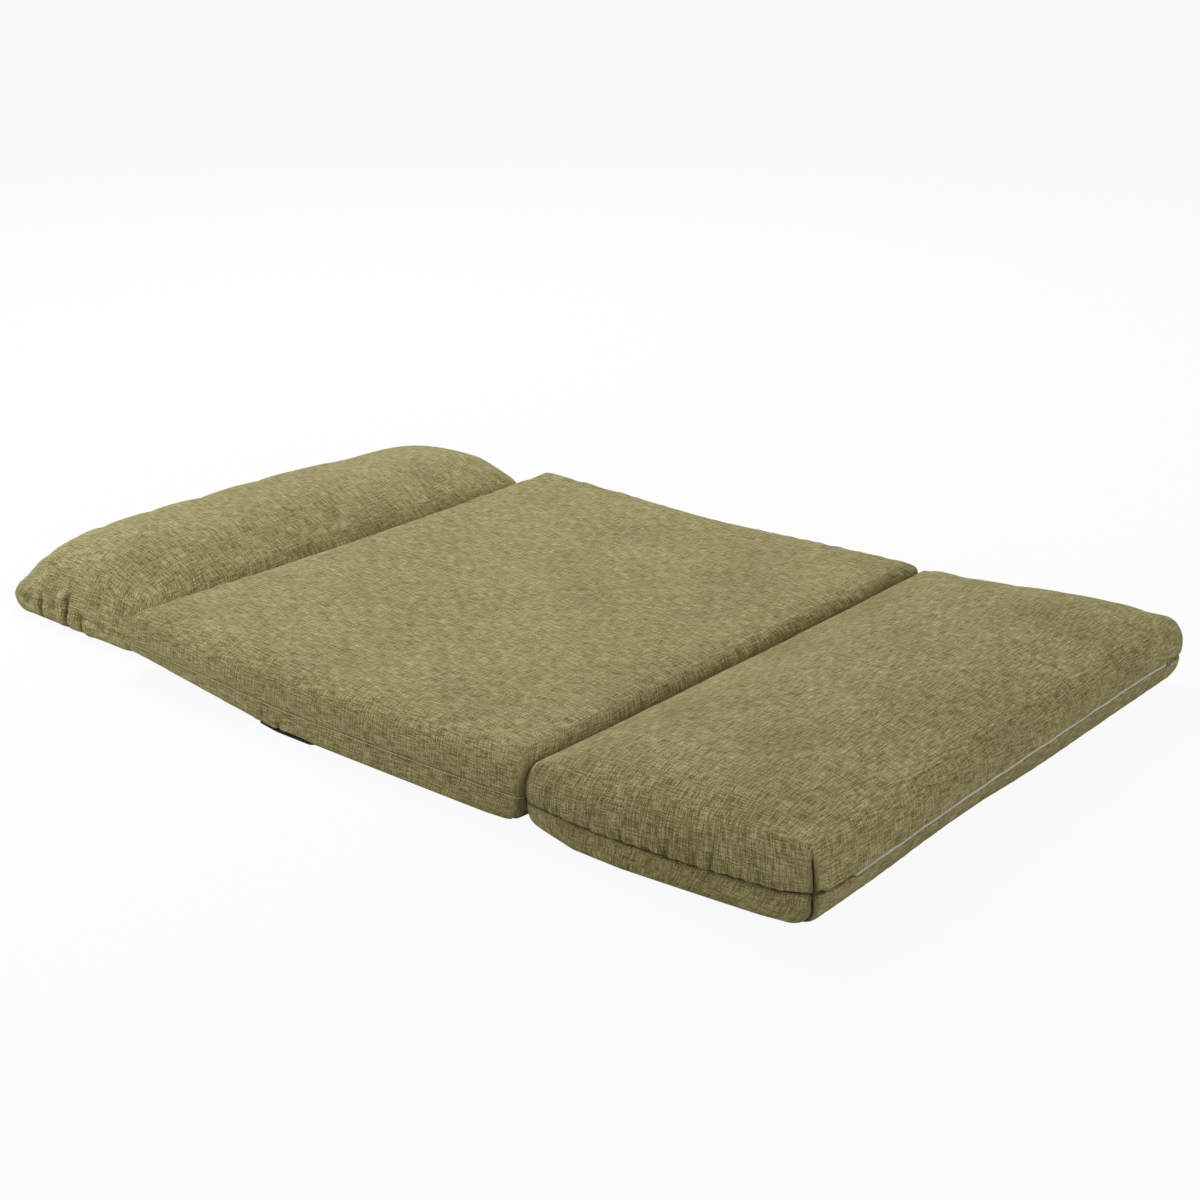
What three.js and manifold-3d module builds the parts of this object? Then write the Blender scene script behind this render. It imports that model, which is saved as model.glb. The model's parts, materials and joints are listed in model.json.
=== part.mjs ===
// A floor sofa bed lying open as a bed: a head pillow, a slab of two panels with a fold between
// them, and a thick foot cushion. Millimetres, +Z up, +X from the head to the foot, +Y to the rear.
import * as THREE from 'three';
import { mergeVertices } from 'three/addons/utils/BufferGeometryUtils.js';
import Module from 'manifold-3d';

const wasm = await Module();
wasm.setup();

// Fits and cloths that all the cushions share.
const clearance = 0.3;
const overrun = 20;
const clothThickness = 2;
const liningThickness = 1.5;

// The gap between neighbouring cushions, and the cloth flaps that meet in it at the fold.
const cushionGap = 8;
const flapThickness = 1.2;
const flapEndMargin = 70;
const flapGap = 0.3;

// How finely the outline of a cushion is divided.
const cornerSteps = 3;
const endSteps = 6;
const sideSteps = 5;
const cornerLeastShare = 0.12;
const cornerMostShare = 0.9;

// The forms of the cushions. The side rises in steps from the hem on the floor to the shoulder,
// each with its insets at the ends and along the sides. The crown then rises in rings on the way to
// the middle. Each edge is drawn in at its middle or turned in at its corners.
const slab = {
  length: 914,
  width: 1110,
  corner: 36,
  offset: 0,
  drawn: { head: 8, foot: 2, sides: 0 },
  turned: { head: 0, foot: 0, sides: 3 },
  side: {
    hem: { ends: 30, sides: 2, height: 0 },
    heel: { ends: 12, sides: 0, height: 7 },
    wall: { ends: 3, sides: 1, height: 20 },
    seam: { ends: 4, sides: 3, height: 40 },
    belly: { ends: 0, sides: 0, height: 60 },
    upper: { ends: 3, sides: 2, height: 84 },
    brow: { ends: 13, sides: 9, height: 100 },
    shoulder: { ends: 34, sides: 26, height: 109 },
  },
  crown: 3,
  rings: {
    outer: { inShare: 0.25, riseShare: 0.6 },
    middle: { inShare: 0.6, riseShare: 0.9 },
    inner: { inShare: 0.97, riseShare: 1 },
  },
  sag: 15,
  lean: 0,
};
const pillow = {
  length: 447,
  width: 1040,
  corner: 66,
  offset: 14,
  drawn: { head: 0, foot: 2, sides: 0 },
  turned: { head: 34, foot: 0, sides: 10 },
  side: {
    hem: { ends: 34, sides: 14, height: 0 },
    heel: { ends: 15, sides: 5, height: 8 },
    wall: { ends: 4, sides: 3, height: 20 },
    seam: { ends: 0, sides: 0, height: 36 },
    upper: { ends: 11, sides: 4, height: 58 },
    brow: { ends: 32, sides: 13, height: 86 },
    shoulder: { ends: 58, sides: 29, height: 107 },
  },
  seamStep: 3,
  crown: 32,
  rings: {
    outer: { inShare: 0.12, riseShare: 0.42 },
    second: { inShare: 0.3, riseShare: 0.76 },
    third: { inShare: 0.6, riseShare: 0.95 },
    inner: { inShare: 0.95, riseShare: 1 },
  },
  sag: 0,
  lean: -8,
};
const foot = {
  length: 509,
  width: 1120,
  corner: 36,
  offset: 0,
  drawn: { head: 10, foot: 0, sides: 0 },
  turned: { head: 0, foot: 0, sides: 7 },
  side: {
    hem: { ends: 44, sides: 4, height: 0 },
    heel: { ends: 24, sides: 0, height: 7 },
    wall: { ends: 11, sides: 1, height: 20 },
    band: { ends: 3, sides: 3, height: 38 },
    seam: { ends: 0, sides: 3, height: 58 },
    upper: { ends: 2, sides: 3, height: 84 },
    brow: { ends: 12, sides: 12, height: 108 },
    shoulder: { ends: 32, sides: 32, height: 123 },
  },
  seamStep: 4,
  crown: 36,
  rings: {
    outer: { inShare: 0.12, riseShare: 0.42 },
    second: { inShare: 0.3, riseShare: 0.76 },
    third: { inShare: 0.6, riseShare: 0.95 },
    inner: { inShare: 0.94, riseShare: 1 },
  },
  sag: 0,
  lean: 18,
  coreHeight: 104,
};

// The steel frame in each slab panel, the foam hollow round it and the pad below it.
const hingeHeight = 28;
const tubeDiameter = 19;
const tubeWall = 1.2;
const tubeSegments = 7;
const railInset = 64;
const railStart = 62;
const railEndInset = 60;
const crossTubeInset = 10;
const hollowEndMargin = 8;
const hollowSideMargin = 3;
const strapWidth = 60;
const strapThickness = 1.5;
const strapCount = 3;
const strapSpacing = 300;
const strapOverhang = 6;
const padCreaseInset = 4;
const padEndInset = 62;
const padSideMargin = 8;

// The ratchet hinge at each end of the fold.
const plateThickness = 3;
const armLength = 112;
const armHeight = 19;
const toothedRadius = 21;
const toothDepth = 2.5;
const toothCount = 12;
const toothFirstShare = 0.29;
const toothLastShare = 0.71;
const hingeDiscRadius = 19;
const pivotRadius = 4;
const pivotHeadRadius = 8;
const rivetHeadThickness = 2;
const rivetSegments = 14;
const plateSegments = 6;
const pawlReach = 44;
const pawlEyeRadius = 7;
const pawlNoseHeight = 2;
const pawlLift = 2;
const pawlPinRadius = 3;
const pawlPinHeadRadius = 5;
const springThickness = 1;
const springLength = 34;
const discMargin = 3;
const creaseFoamLift = 5;

// The zip along the outer end of the foot cushion.
const zipStart = -456;
const zipEnd = 500;
const zipSlotHeight = 6;
const zipSetback = 6;
const coilHeight = 2.8;
const coilDepth = 3.5;
const tapeThickness = 1.4;
const tapeWidth = 14;
const stopLength = 4;
const pocketMargin = 1.5;
const sliderLength = 11;
const sliderHeight = 9;
const sliderPlate = 1.2;
const pullLength = 18;
const pullWidth = 6;
const pullThickness = 1.2;
const pullEyeRadius = 2;
const bridgeRadius = 0.8;
const bridgeLift = 2.6;
const bridgePost = 1.2;
const bridgeSegments = 8;

// Places along the part that several pieces share.
const slabEnd = slab.length / 2;
const slabTop = slab.side.shoulder.height + slab.crown;
const pillowCentre = -(slabEnd + cushionGap + pillow.length / 2);
const footCentre = slabEnd + cushionGap + foot.length / 2;
const headReach = slabEnd + cushionGap + pillow.length;
const footReach = slabEnd + cushionGap + foot.length;
const zipHeight = foot.side.seam.height;
const bridgeX = footReach + clearance + sliderPlate + bridgeLift;
const originShift = (headReach - bridgeX - pullEyeRadius) / 2;

// Places in and round the frame.
const railEnd = slabEnd - railEndInset;
const seatRailY = slab.width / 2 - railInset;
const backRailY = seatRailY + plateThickness + clearance;
const crossTubePlaces = { inner: railStart + crossTubeInset, outer: railEnd - crossTubeInset };
const strapBottom = hingeHeight + tubeDiameter / 2 + clearance;
const hollowTop = strapBottom + strapThickness + clearance;
const hollowEnd = railEnd + hollowEndMargin;
const seatPlateY = seatRailY + tubeDiameter / 2 + clearance;
const backPlateY = seatPlateY + plateThickness + clearance;
const rivetY = (seatPlateY + backPlateY + plateThickness) / 2;
const rivetGrip = backPlateY + plateThickness - seatPlateY + 2 * clearance;
const rivetReach = rivetGrip / 2 + rivetHeadThickness;
const hollowSide = rivetY + rivetReach + hollowSideMargin;

const model = new THREE.Group();
model.position.x = originShift;

function addPiece(name, geometry, material) {
  const mesh = new THREE.Mesh(geometry, material());
  mesh.name = name;
  model.add(mesh);
}

function paint(color, roughness, metalness) {
  return new THREE.MeshStandardMaterial({ color, roughness, metalness });
}

const oliveWeave = () => paint(0x8f8a5e, 0.95, 0);
const blackLining = () => paint(0x1b1b1c, 0.9, 0);
const creamFoam = () => paint(0xe9e2c8, 0.9, 0);
const whiteFibre = () => paint(0xf4f3ee, 1, 0);
const blackSteel = () => paint(0x2a2b2d, 0.45, 0.8);
const zincSteel = () => paint(0xb5b7b8, 0.35, 1);
const greyStrap = () => paint(0x34352f, 0.9, 0);
const creamZip = () => paint(0xe8e6da, 0.7, 0);

function toSolid(geometry) {
  const bare = geometry.clone();
  bare.deleteAttribute('normal');
  bare.deleteAttribute('uv');
  const merged = mergeVertices(bare);
  const vertProperties = new Float32Array(merged.attributes.position.array);
  const triVerts = new Uint32Array(merged.index.array);
  return new wasm.Manifold(new wasm.Mesh({ numProp: 3, vertProperties, triVerts }));
}

function fromSolid(solid) {
  const mesh = solid.getMesh();
  const geometry = new THREE.BufferGeometry();
  const positions = Float32Array.from(mesh.vertProperties);
  geometry.setAttribute('position', new THREE.BufferAttribute(positions, 3));
  geometry.setIndex(Array.from(mesh.triVerts));
  return geometry;
}

function cut(geometry, ...tools) {
  const start = toSolid(geometry);
  return fromSolid(tools.reduce((solid, tool) => solid.subtract(toSolid(tool)), start));
}

function join(geometry, ...others) {
  const start = toSolid(geometry);
  return fromSolid(others.reduce((solid, other) => solid.add(toSolid(other)), start));
}

function within(geometry, region) {
  return fromSolid(toSolid(geometry).intersect(toSolid(region)));
}

function box([x0, x1], [y0, y1], [z0, z1]) {
  const geometry = new THREE.BoxGeometry(x1 - x0, y1 - y0, z1 - z0);
  return geometry.translate((x0 + x1) / 2, (y0 + y1) / 2, (z0 + z1) / 2);
}

// The same span on the other side of zero where the side is negative.
function mirrored(side, from, to) {
  return side > 0 ? [from, to] : [-to, -from];
}

function polygon(points) {
  return new THREE.Shape(points.map(([x, z]) => new THREE.Vector2(x, z)));
}

// A plate whose outline lies in X and Z, with its thickness along Y.
function plate(shape, [y0, y1]) {
  const options = { depth: y1 - y0, bevelEnabled: false, curveSegments: plateSegments };
  return new THREE.ExtrudeGeometry(shape, options).rotateX(Math.PI / 2).translate(0, y1, 0);
}

// The outline of a cushion in plan at insets from its widest lines.
function outline(form, endInset, sideInset) {
  const halfX = form.length / 2 - endInset;
  const halfY = form.width / 2 - sideInset;
  const most = Math.min(halfX, halfY) * cornerMostShare;
  const inset = (endInset + sideInset) / 2;
  const radius = Math.min(Math.max(form.corner - inset, form.corner * cornerLeastShare), most);
  const centres = [
    [halfX - radius, halfY - radius],
    [radius - halfX, halfY - radius],
    [radius - halfX, radius - halfY],
    [halfX - radius, radius - halfY],
  ];
  const points = [];
  centres.forEach(([x, y], index) => {
    for (let step = 0; step <= cornerSteps; step += 1) {
      const angle = ((index + step / cornerSteps) * Math.PI) / 2;
      points.push([x + radius * Math.cos(angle), y + radius * Math.sin(angle)]);
    }
    const [nextX, nextY] = centres[(index + 1) % centres.length];
    const [lastX, lastY] = points[points.length - 1];
    const steps = index % 2 === 0 ? sideSteps : endSteps;
    for (let step = 1; step < steps; step += 1) {
      const along = step / steps;
      points.push([lastX + (nextX - x) * along, lastY + (nextY - y) * along]);
    }
  });
  return points.map(([x, y]) => {
    const end = x < 0 ? 'head' : 'foot';
    const cornerShare = (y / halfY) ** 2;
    const endIn = form.drawn[end] * (1 - cornerShare) + form.turned[end] * cornerShare;
    const sideShare = (x / halfX) ** 2;
    const sideIn = form.drawn.sides * (1 - sideShare) + form.turned.sides * sideShare;
    return [x * (1 - (2 * endIn) / form.length), y * (1 - (2 * sideIn) / form.width)];
  });
}

// The steps of the side and then the rings of the crown, moved inward by a depth.
function profile(form, depth) {
  const { shoulder } = form.side;
  const reach = form.length / 2 - shoulder.ends;
  const rings = Object.values(form.rings).map(({ inShare, riseShare }) => ({
    ends: shoulder.ends + inShare * reach,
    sides: shoulder.sides + inShare * reach,
    height: shoulder.height + riseShare * form.crown,
  }));
  const steps = [...Object.values(form.side), ...rings];
  return steps.map((step, index) => {
    const before = steps[Math.max(index - 1, 0)];
    const after = steps[Math.min(index + 1, steps.length - 1)];
    const upward = after.height - before.height;
    const endOutward = before.ends - after.ends;
    const sideOutward = before.sides - after.sides;
    const endSize = Math.hypot(endOutward, upward);
    const sideSize = Math.hypot(sideOutward, upward);
    const rise = endOutward > 0
      ? Math.max(endOutward / endSize, sideOutward / sideSize)
      : Math.min(endOutward / endSize, sideOutward / sideSize);
    return {
      ends: step.ends + (depth * upward) / endSize,
      sides: step.sides + (depth * upward) / sideSize,
      height: step.height + depth * rise,
    };
  });
}

// A closed line round a cushion. Its top sags towards the middle of its length and leans down
// towards its head end.
function ring(form, centre, { ends: endInset, sides: sideInset, height }) {
  const top = form.side.shoulder.height + form.crown;
  return outline(form, endInset, sideInset).map(([x, y]) => {
    const sag = form.sag * (1 - Math.abs(x) / (form.length / 2));
    const lean = (form.lean * (1 - x / (form.length / 2))) / 2;
    return new THREE.Vector3(centre + x, form.offset + y, height * (1 - (sag + lean) / top));
  });
}

function signedVolume(points, faces) {
  return faces.reduce((sum, [a, b, c]) => {
    const normal = new THREE.Vector3().crossVectors(points[b], points[c]);
    return sum + points[a].dot(normal);
  }, 0);
}

function capFaces(line, first) {
  const flat = line.map((point) => new THREE.Vector2(point.x, point.y));
  return THREE.ShapeUtils.triangulateShape(flat, []).map((face) => face.map((i) => i + first));
}

// Joins lines of equal count into one body. It is closed by a cap at each end, or by running on from
// its last line to its first.
function loft(lines, capped) {
  const count = lines[0].length;
  const points = lines.flat();
  const bands = capped ? lines.length - 1 : lines.length;
  const faces = [];
  for (let row = 0; row < bands; row += 1) {
    const lower = row * count;
    const upper = ((row + 1) % lines.length) * count;
    for (let i = 0; i < count; i += 1) {
      const j = (i + 1) % count;
      faces.push([lower + i, lower + j, upper + j]);
      faces.push([lower + i, upper + j, upper + i]);
    }
  }
  if (capped) {
    const last = lines.length - 1;
    capFaces(lines[0], 0).forEach(([a, b, c]) => faces.push([a, c, b]));
    capFaces(lines[last], last * count).forEach((face) => faces.push(face));
  }
  if (signedVolume(points, faces) < 0) faces.forEach((face) => face.reverse());
  const geometry = new THREE.BufferGeometry().setFromPoints(points);
  return geometry.setIndex(faces.flat());
}

// The whole form moved inward by the cloth and its clearance.
function filling(form, centre) {
  const steps = profile(form, clothThickness + clearance);
  return loft(steps.map((step) => ring(form, centre, step)), true);
}

// The outer and inner lines of the cloth between two steps of the profile. The lines at the seam
// stop short of it by half a clearance.
function clothLines(form, centre, from, to) {
  const outer = profile(form, 0).slice(from, to);
  const inner = profile(form, clothThickness).slice(from, to);
  outer.forEach((step, index) => {
    if (from + index !== form.seamStep) return;
    const height = step.height + (from > 0 ? clearance : -clearance) / 2;
    outer[index] = { ...step, height };
    inner[index] = { ...inner[index], height };
  });
  const rings = (steps) => steps.map((step) => ring(form, centre, step));
  return { outer: rings(outer), inner: rings(inner) };
}

// A cloth shell from one step of the side up and over the crown, open underneath.
function topCloth(form, centre, from) {
  const { outer, inner } = clothLines(form, centre, from);
  return loft([...outer.reverse(), ...inner], true);
}

// A dish of cloth from the floor up to the seam.
function dishCloth(form, centre) {
  const { outer, inner } = clothLines(form, centre, 0, form.seamStep + 1);
  return loft([...outer, ...inner.reverse()], true);
}

// A band of cloth from its hem on the floor up to the seam.
function bandCloth(form, centre) {
  const { outer, inner } = clothLines(form, centre, 0, form.seamStep + 1);
  return loft([...outer, ...inner.reverse()], false);
}

// A flat sheet on the floor inside the hem.
function baseSheet(form, centre) {
  const { hem } = form.side;
  const steps = [0, liningThickness].map((height) => ({
    ends: hem.ends + clothThickness,
    sides: hem.sides + clothThickness,
    height,
  }));
  return loft(steps.map((step) => ring(form, centre, step)), true);
}

// The slab is divided at the fold: each panel is cut back at 45 degrees above the hinge line, and
// the part between the two cuts is the soft crease.
const regionTop = slabTop + overrun;
const regionSide = slab.width / 2 + overrun;

function panelRegion(side) {
  const near = clearance / 2;
  const rise = regionTop - hingeHeight;
  const points = [
    [side * near, -overrun],
    [side * (slabEnd + overrun), -overrun],
    [side * (slabEnd + overrun), regionTop],
    [side * (near + rise), regionTop],
    [side * near, hingeHeight],
  ];
  return plate(polygon(points), [-regionSide, regionSide]);
}

function creaseRegion(bottom) {
  const low = bottom - hingeHeight - clearance;
  const high = regionTop - hingeHeight - clearance;
  const points = [
    [-low, bottom],
    [low, bottom],
    [high, regionTop],
    [-high, regionTop],
  ];
  return plate(polygon(points), [-regionSide, regionSide]);
}

function slabCover(side) {
  return within(topCloth(slab, 0, 0), panelRegion(side));
}

function creaseCover() {
  return within(topCloth(slab, 0, 0), creaseRegion(hingeHeight + 2 * clearance));
}

function slabLining(side) {
  return within(baseSheet(slab, 0), panelRegion(side));
}

// The foam of a panel, hollow underneath for its frame and higher round the hinge discs.
function slabFoam(side) {
  const frameHollow = box(
    [-hollowEnd, hollowEnd],
    [-hollowSide, hollowSide],
    [-overrun, hollowTop],
  );
  const discReach = toothedRadius + discMargin;
  const discHollows = [-1, 1].map((end) => box(
    [-discReach, discReach],
    mirrored(end, rivetY - rivetReach - discMargin, hollowSide),
    [hingeHeight, hingeHeight + discReach],
  ));
  return within(cut(filling(slab, 0), frameHollow, ...discHollows), panelRegion(side));
}

function creaseFoam() {
  const bottom = hingeHeight + toothedRadius + creaseFoamLift;
  return within(filling(slab, 0), creaseRegion(bottom));
}

function tube(length) {
  const radius = tubeDiameter / 2;
  const shape = new THREE.Shape();
  shape.absarc(0, 0, radius, 0, 2 * Math.PI);
  const bore = new THREE.Path();
  bore.absarc(0, 0, radius - tubeWall, 0, 2 * Math.PI);
  shape.holes.push(bore);
  const options = { depth: length, bevelEnabled: false, curveSegments: tubeSegments };
  return new THREE.ExtrudeGeometry(shape, options).translate(0, 0, -length / 2);
}

function rail(side, end) {
  const y = end * (side > 0 ? seatRailY : backRailY);
  const x = (side * (railStart + railEnd)) / 2;
  return tube(railEnd - railStart).rotateY(Math.PI / 2).translate(x, y, hingeHeight);
}

function crossTube(side, place) {
  const railY = side > 0 ? seatRailY : backRailY;
  const length = 2 * (railY - tubeDiameter / 2 - clearance);
  const x = side * crossTubePlaces[place];
  return tube(length).rotateX(Math.PI / 2).translate(x, 0, hingeHeight);
}

// One of the straps that lie over both cross tubes and carry the foam.
function strap(side, index) {
  const y = (index - (strapCount - 1) / 2) * strapSpacing;
  const beyond = tubeDiameter / 2 + strapOverhang;
  const ends = mirrored(side, crossTubePlaces.inner - beyond, crossTubePlaces.outer + beyond);
  const sides = [y - strapWidth / 2, y + strapWidth / 2];
  return box(ends, sides, [strapBottom, strapBottom + strapThickness]);
}

// The soft pad between the frame and the lining.
function basePad(side) {
  const ends = mirrored(side, padCreaseInset, slabEnd - padEndInset);
  const padSide = seatRailY - tubeDiameter / 2 - padSideMargin;
  const top = hingeHeight - tubeDiameter / 2 - clearance;
  return box(ends, [-padSide, padSide], [liningThickness + clearance, top]);
}

function withHole(shape, x, radius) {
  const hole = new THREE.Path();
  hole.absarc(x, 0, radius + clearance, 0, 2 * Math.PI);
  shape.holes.push(hole);
  return shape;
}

// The toothed plate of the seat: an arm along the rail and a disc with teeth round the pivot.
function ratchetPlate(end) {
  const half = armHeight / 2;
  const first = toothFirstShare * 2 * Math.PI;
  const last = toothLastShare * 2 * Math.PI;
  const edge = Math.asin(half / toothedRadius);
  const root = toothedRadius - toothDepth;
  const pitch = (last - first) / toothCount;
  const shape = new THREE.Shape();
  shape.moveTo(armLength, -half);
  shape.lineTo(armLength, half);
  shape.absarc(0, 0, toothedRadius, edge, first, false);
  for (let i = 1; i <= toothCount; i += 1) {
    const angle = first + i * pitch;
    shape.lineTo(root * Math.cos(angle), root * Math.sin(angle));
    shape.lineTo(toothedRadius * Math.cos(angle), toothedRadius * Math.sin(angle));
  }
  shape.absarc(0, 0, toothedRadius, last, 2 * Math.PI - edge, false);
  const span = mirrored(end, seatPlateY, seatPlateY + plateThickness);
  return plate(withHole(shape, 0, pivotRadius), span).translate(0, 0, hingeHeight);
}

// The plate of the back: an arm along the rail and a disc round the pivot.
function hingePlate(end) {
  const half = armHeight / 2;
  const edge = Math.asin(half / hingeDiscRadius);
  const shape = new THREE.Shape();
  shape.moveTo(-armLength, half);
  shape.lineTo(-armLength, -half);
  shape.absarc(0, 0, hingeDiscRadius, Math.PI + edge, 3 * Math.PI - edge, false);
  withHole(shape, 0, pivotRadius);
  withHole(shape, -pawlReach, pawlPinRadius);
  const span = mirrored(end, backPlateY, backPlateY + plateThickness);
  return plate(shape, span).translate(0, 0, hingeHeight);
}

// The pawl points at the teeth and is held clear of them while the bed lies flat.
function pawl(end) {
  const half = pawlNoseHeight / 2;
  const tip = -toothedRadius - pawlLift;
  const edge = Math.asin(half / pawlEyeRadius);
  const shape = new THREE.Shape();
  shape.moveTo(tip, -half);
  shape.lineTo(tip, half);
  shape.absarc(-pawlReach, 0, pawlEyeRadius, Math.PI / 2 - edge, (3 * Math.PI) / 2 + edge, false);
  const span = mirrored(end, seatPlateY, seatPlateY + plateThickness);
  return plate(withHole(shape, -pawlReach, pawlPinRadius), span).translate(0, 0, hingeHeight);
}

function pawlSpring(end) {
  const bottom = hingeHeight + pawlEyeRadius + clearance;
  const ends = [-pawlReach - springLength / 2, -pawlReach + springLength / 2];
  const span = mirrored(end, seatPlateY, seatPlateY + plateThickness);
  return box(ends, span, [bottom, bottom + springThickness]);
}

// A shaft with a flat head at each end, along Y.
function rivet(end, x, shaftRadius, headRadius) {
  const section = [
    [0, -rivetReach],
    [headRadius, -rivetReach],
    [headRadius, -rivetGrip / 2],
    [shaftRadius, -rivetGrip / 2],
    [shaftRadius, rivetGrip / 2],
    [headRadius, rivetGrip / 2],
    [headRadius, rivetReach],
    [0, rivetReach],
  ];
  const points = section.map(([r, y]) => new THREE.Vector2(r, y));
  return new THREE.LatheGeometry(points, rivetSegments).translate(x, end * rivetY, hingeHeight);
}

function pivotRivet(end) {
  return rivet(end, 0, pivotRadius, pivotHeadRadius);
}

function pawlPin(end) {
  return rivet(end, -pawlReach, pawlPinRadius, pawlPinHeadRadius);
}

// How far in from the end of a cushion its rounded lower edge clears a flap on the floor.
function flapInset(form, end, half) {
  const { hem, heel } = form.side;
  const share = (flapThickness + clearance) / heel.height;
  const cornerShare = (half / (form.width / 2 - hem.sides)) ** 2;
  const drawnIn = form.drawn[end] * (1 - cornerShare) - clearance;
  return hem.ends - (hem.ends - heel.ends) * share + Math.max(drawnIn, 0);
}

// A flap of cloth on the floor, from under the rounded end of a cushion to the fold line. Both
// flaps of a fold are as long as the narrower cushion allows.
function foldFlap(form, neighbour, side, towards) {
  const fold = slabEnd + cushionGap / 2;
  const half = Math.min(form.width, neighbour.width) / 2 - flapEndMargin;
  const end = side * towards > 0 ? 'foot' : 'head';
  const near = fold - (towards * flapGap) / 2;
  const far = fold - towards * (cushionGap / 2 + flapInset(form, end, half));
  const spans = mirrored(side, Math.min(near, far), Math.max(near, far));
  return box(spans, [-half, half], [0, flapThickness]);
}

// The opening along the seam through which the coil shows.
function zipSlot() {
  const half = zipSlotHeight / 2;
  const ends = [zipStart - stopLength - clearance, zipEnd + stopLength + clearance];
  const depth = [footReach - overrun, footReach + overrun];
  return box(depth, ends, [zipHeight - half, zipHeight + half]);
}

const tapeFace = footReach - zipSetback;
const coilBack = tapeFace - tapeThickness;
const coilFront = coilBack + coilDepth;
const tapeNear = coilHeight / 2 + clearance;

function footCover() {
  return cut(topCloth(foot, footCentre, foot.seamStep), zipSlot());
}

function footBand() {
  return cut(bandCloth(foot, footCentre), zipSlot());
}

// The foot's filling in two layers, with a pocket behind the zip.
function footLayer(bottom, top) {
  const reach = tapeNear + tapeWidth + pocketMargin;
  const pocket = box(
    [coilBack - clearance, footReach + overrun],
    [zipStart - stopLength - clearance, zipEnd + stopLength + clearance],
    [zipHeight - reach, zipHeight + reach],
  );
  const layer = box(
    [footCentre - foot.length, footCentre + foot.length],
    [-foot.width, foot.width],
    [bottom, top],
  );
  return within(cut(filling(foot, footCentre), pocket), layer);
}

function footCore() {
  return footLayer(-overrun, foot.coreHeight);
}

function footTopLayer() {
  const crownTop = foot.side.shoulder.height + foot.crown;
  return footLayer(foot.coreHeight + clearance, crownTop + overrun);
}

function zipTape(side) {
  const [low, high] = mirrored(side, tapeNear, tapeNear + tapeWidth);
  return box([coilBack, tapeFace], [zipStart, zipEnd], [zipHeight + low, zipHeight + high]);
}

function zipStrip(from, to) {
  const half = coilHeight / 2;
  return box([coilBack, coilFront], [from, to], [zipHeight - half, zipHeight + half]);
}

function zipCoil() {
  return zipStrip(zipStart, zipEnd);
}

function zipStop(end) {
  const from = end > 0 ? zipEnd + clearance : zipStart - clearance - stopLength;
  return zipStrip(from, from + stopLength);
}

const bridgeY = zipEnd - sliderLength / 2;

// A round bar along Z beside the slider's plate.
function bridgeBar() {
  const bar = new THREE.CylinderGeometry(bridgeRadius, bridgeRadius, pullWidth, bridgeSegments);
  return bar.rotateX(Math.PI / 2).translate(bridgeX, bridgeY, zipHeight);
}

// The slider stands on the coil through the slot, with a bridge on its plate for the pull.
function zipSlider() {
  const lip = footReach + clearance;
  const neck = zipSlotHeight / 2 - clearance;
  const wide = sliderHeight / 2;
  const section = [
    [coilFront + clearance, -neck],
    [lip, -neck],
    [lip, -wide],
    [lip + sliderPlate, -wide],
    [lip + sliderPlate, wide],
    [lip, wide],
    [lip, neck],
    [coilFront + clearance, neck],
  ];
  const body = plate(polygon(section), [zipEnd - sliderLength, zipEnd]);
  const posts = [-1, 1].map((end) => {
    const span = mirrored(end, pullWidth / 2 - bridgePost, pullWidth / 2);
    const heights = span.map((z) => zipHeight + z);
    const width = [bridgeY - bridgeRadius, bridgeY + bridgeRadius];
    return box([lip + sliderPlate / 2, bridgeX], width, heights);
  });
  return join(body.translate(0, 0, zipHeight), bridgeBar(), ...posts);
}

// The pull tab, with an eye round the bridge, lying along the zip.
function zipPull() {
  const height = pullWidth - 2 * bridgePost - 2 * clearance;
  const half = pullThickness / 2;
  const edge = Math.asin(half / pullEyeRadius);
  const shape = new THREE.Shape();
  shape.moveTo(half, pullLength);
  shape.lineTo(-half, pullLength);
  shape.absarc(0, 0, pullEyeRadius, Math.PI / 2 + edge, (5 * Math.PI) / 2 - edge, false);
  withHole(shape, 0, bridgeRadius);
  const options = { depth: height, bevelEnabled: false, curveSegments: bridgeSegments };
  const tab = new THREE.ExtrudeGeometry(shape, options).translate(0, 0, -height / 2);
  return tab.translate(bridgeX, bridgeY, zipHeight);
}

const panels = { seat: 1, back: -1 };
const neighbours = { seat: foot, back: pillow };
const ends = { front: -1, rear: 1 };

Object.entries(panels).forEach(([panel, side]) => {
  addPiece(`${panel}_cover`, slabCover(side), oliveWeave);
  addPiece(`${panel}_lining`, slabLining(side), blackLining);
  addPiece(`${panel}_foam`, slabFoam(side), creamFoam);
  addPiece(`${panel}_base_pad`, basePad(side), whiteFibre);
  addPiece(`${panel}_cross_tube_inner`, crossTube(side, 'inner'), blackSteel);
  addPiece(`${panel}_cross_tube_outer`, crossTube(side, 'outer'), blackSteel);
  addPiece(`${panel}_fold_flap`, foldFlap(slab, neighbours[panel], side, 1), oliveWeave);
  Object.entries(ends).forEach(([place, end]) => {
    addPiece(`${panel}_rail_${place}`, rail(side, end), blackSteel);
  });
  for (let i = 0; i < strapCount; i += 1) {
    addPiece(`${panel}_strap_${i + 1}`, strap(side, i), greyStrap);
  }
});
addPiece('crease_cover', creaseCover(), oliveWeave);
addPiece('crease_foam', creaseFoam(), creamFoam);

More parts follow.
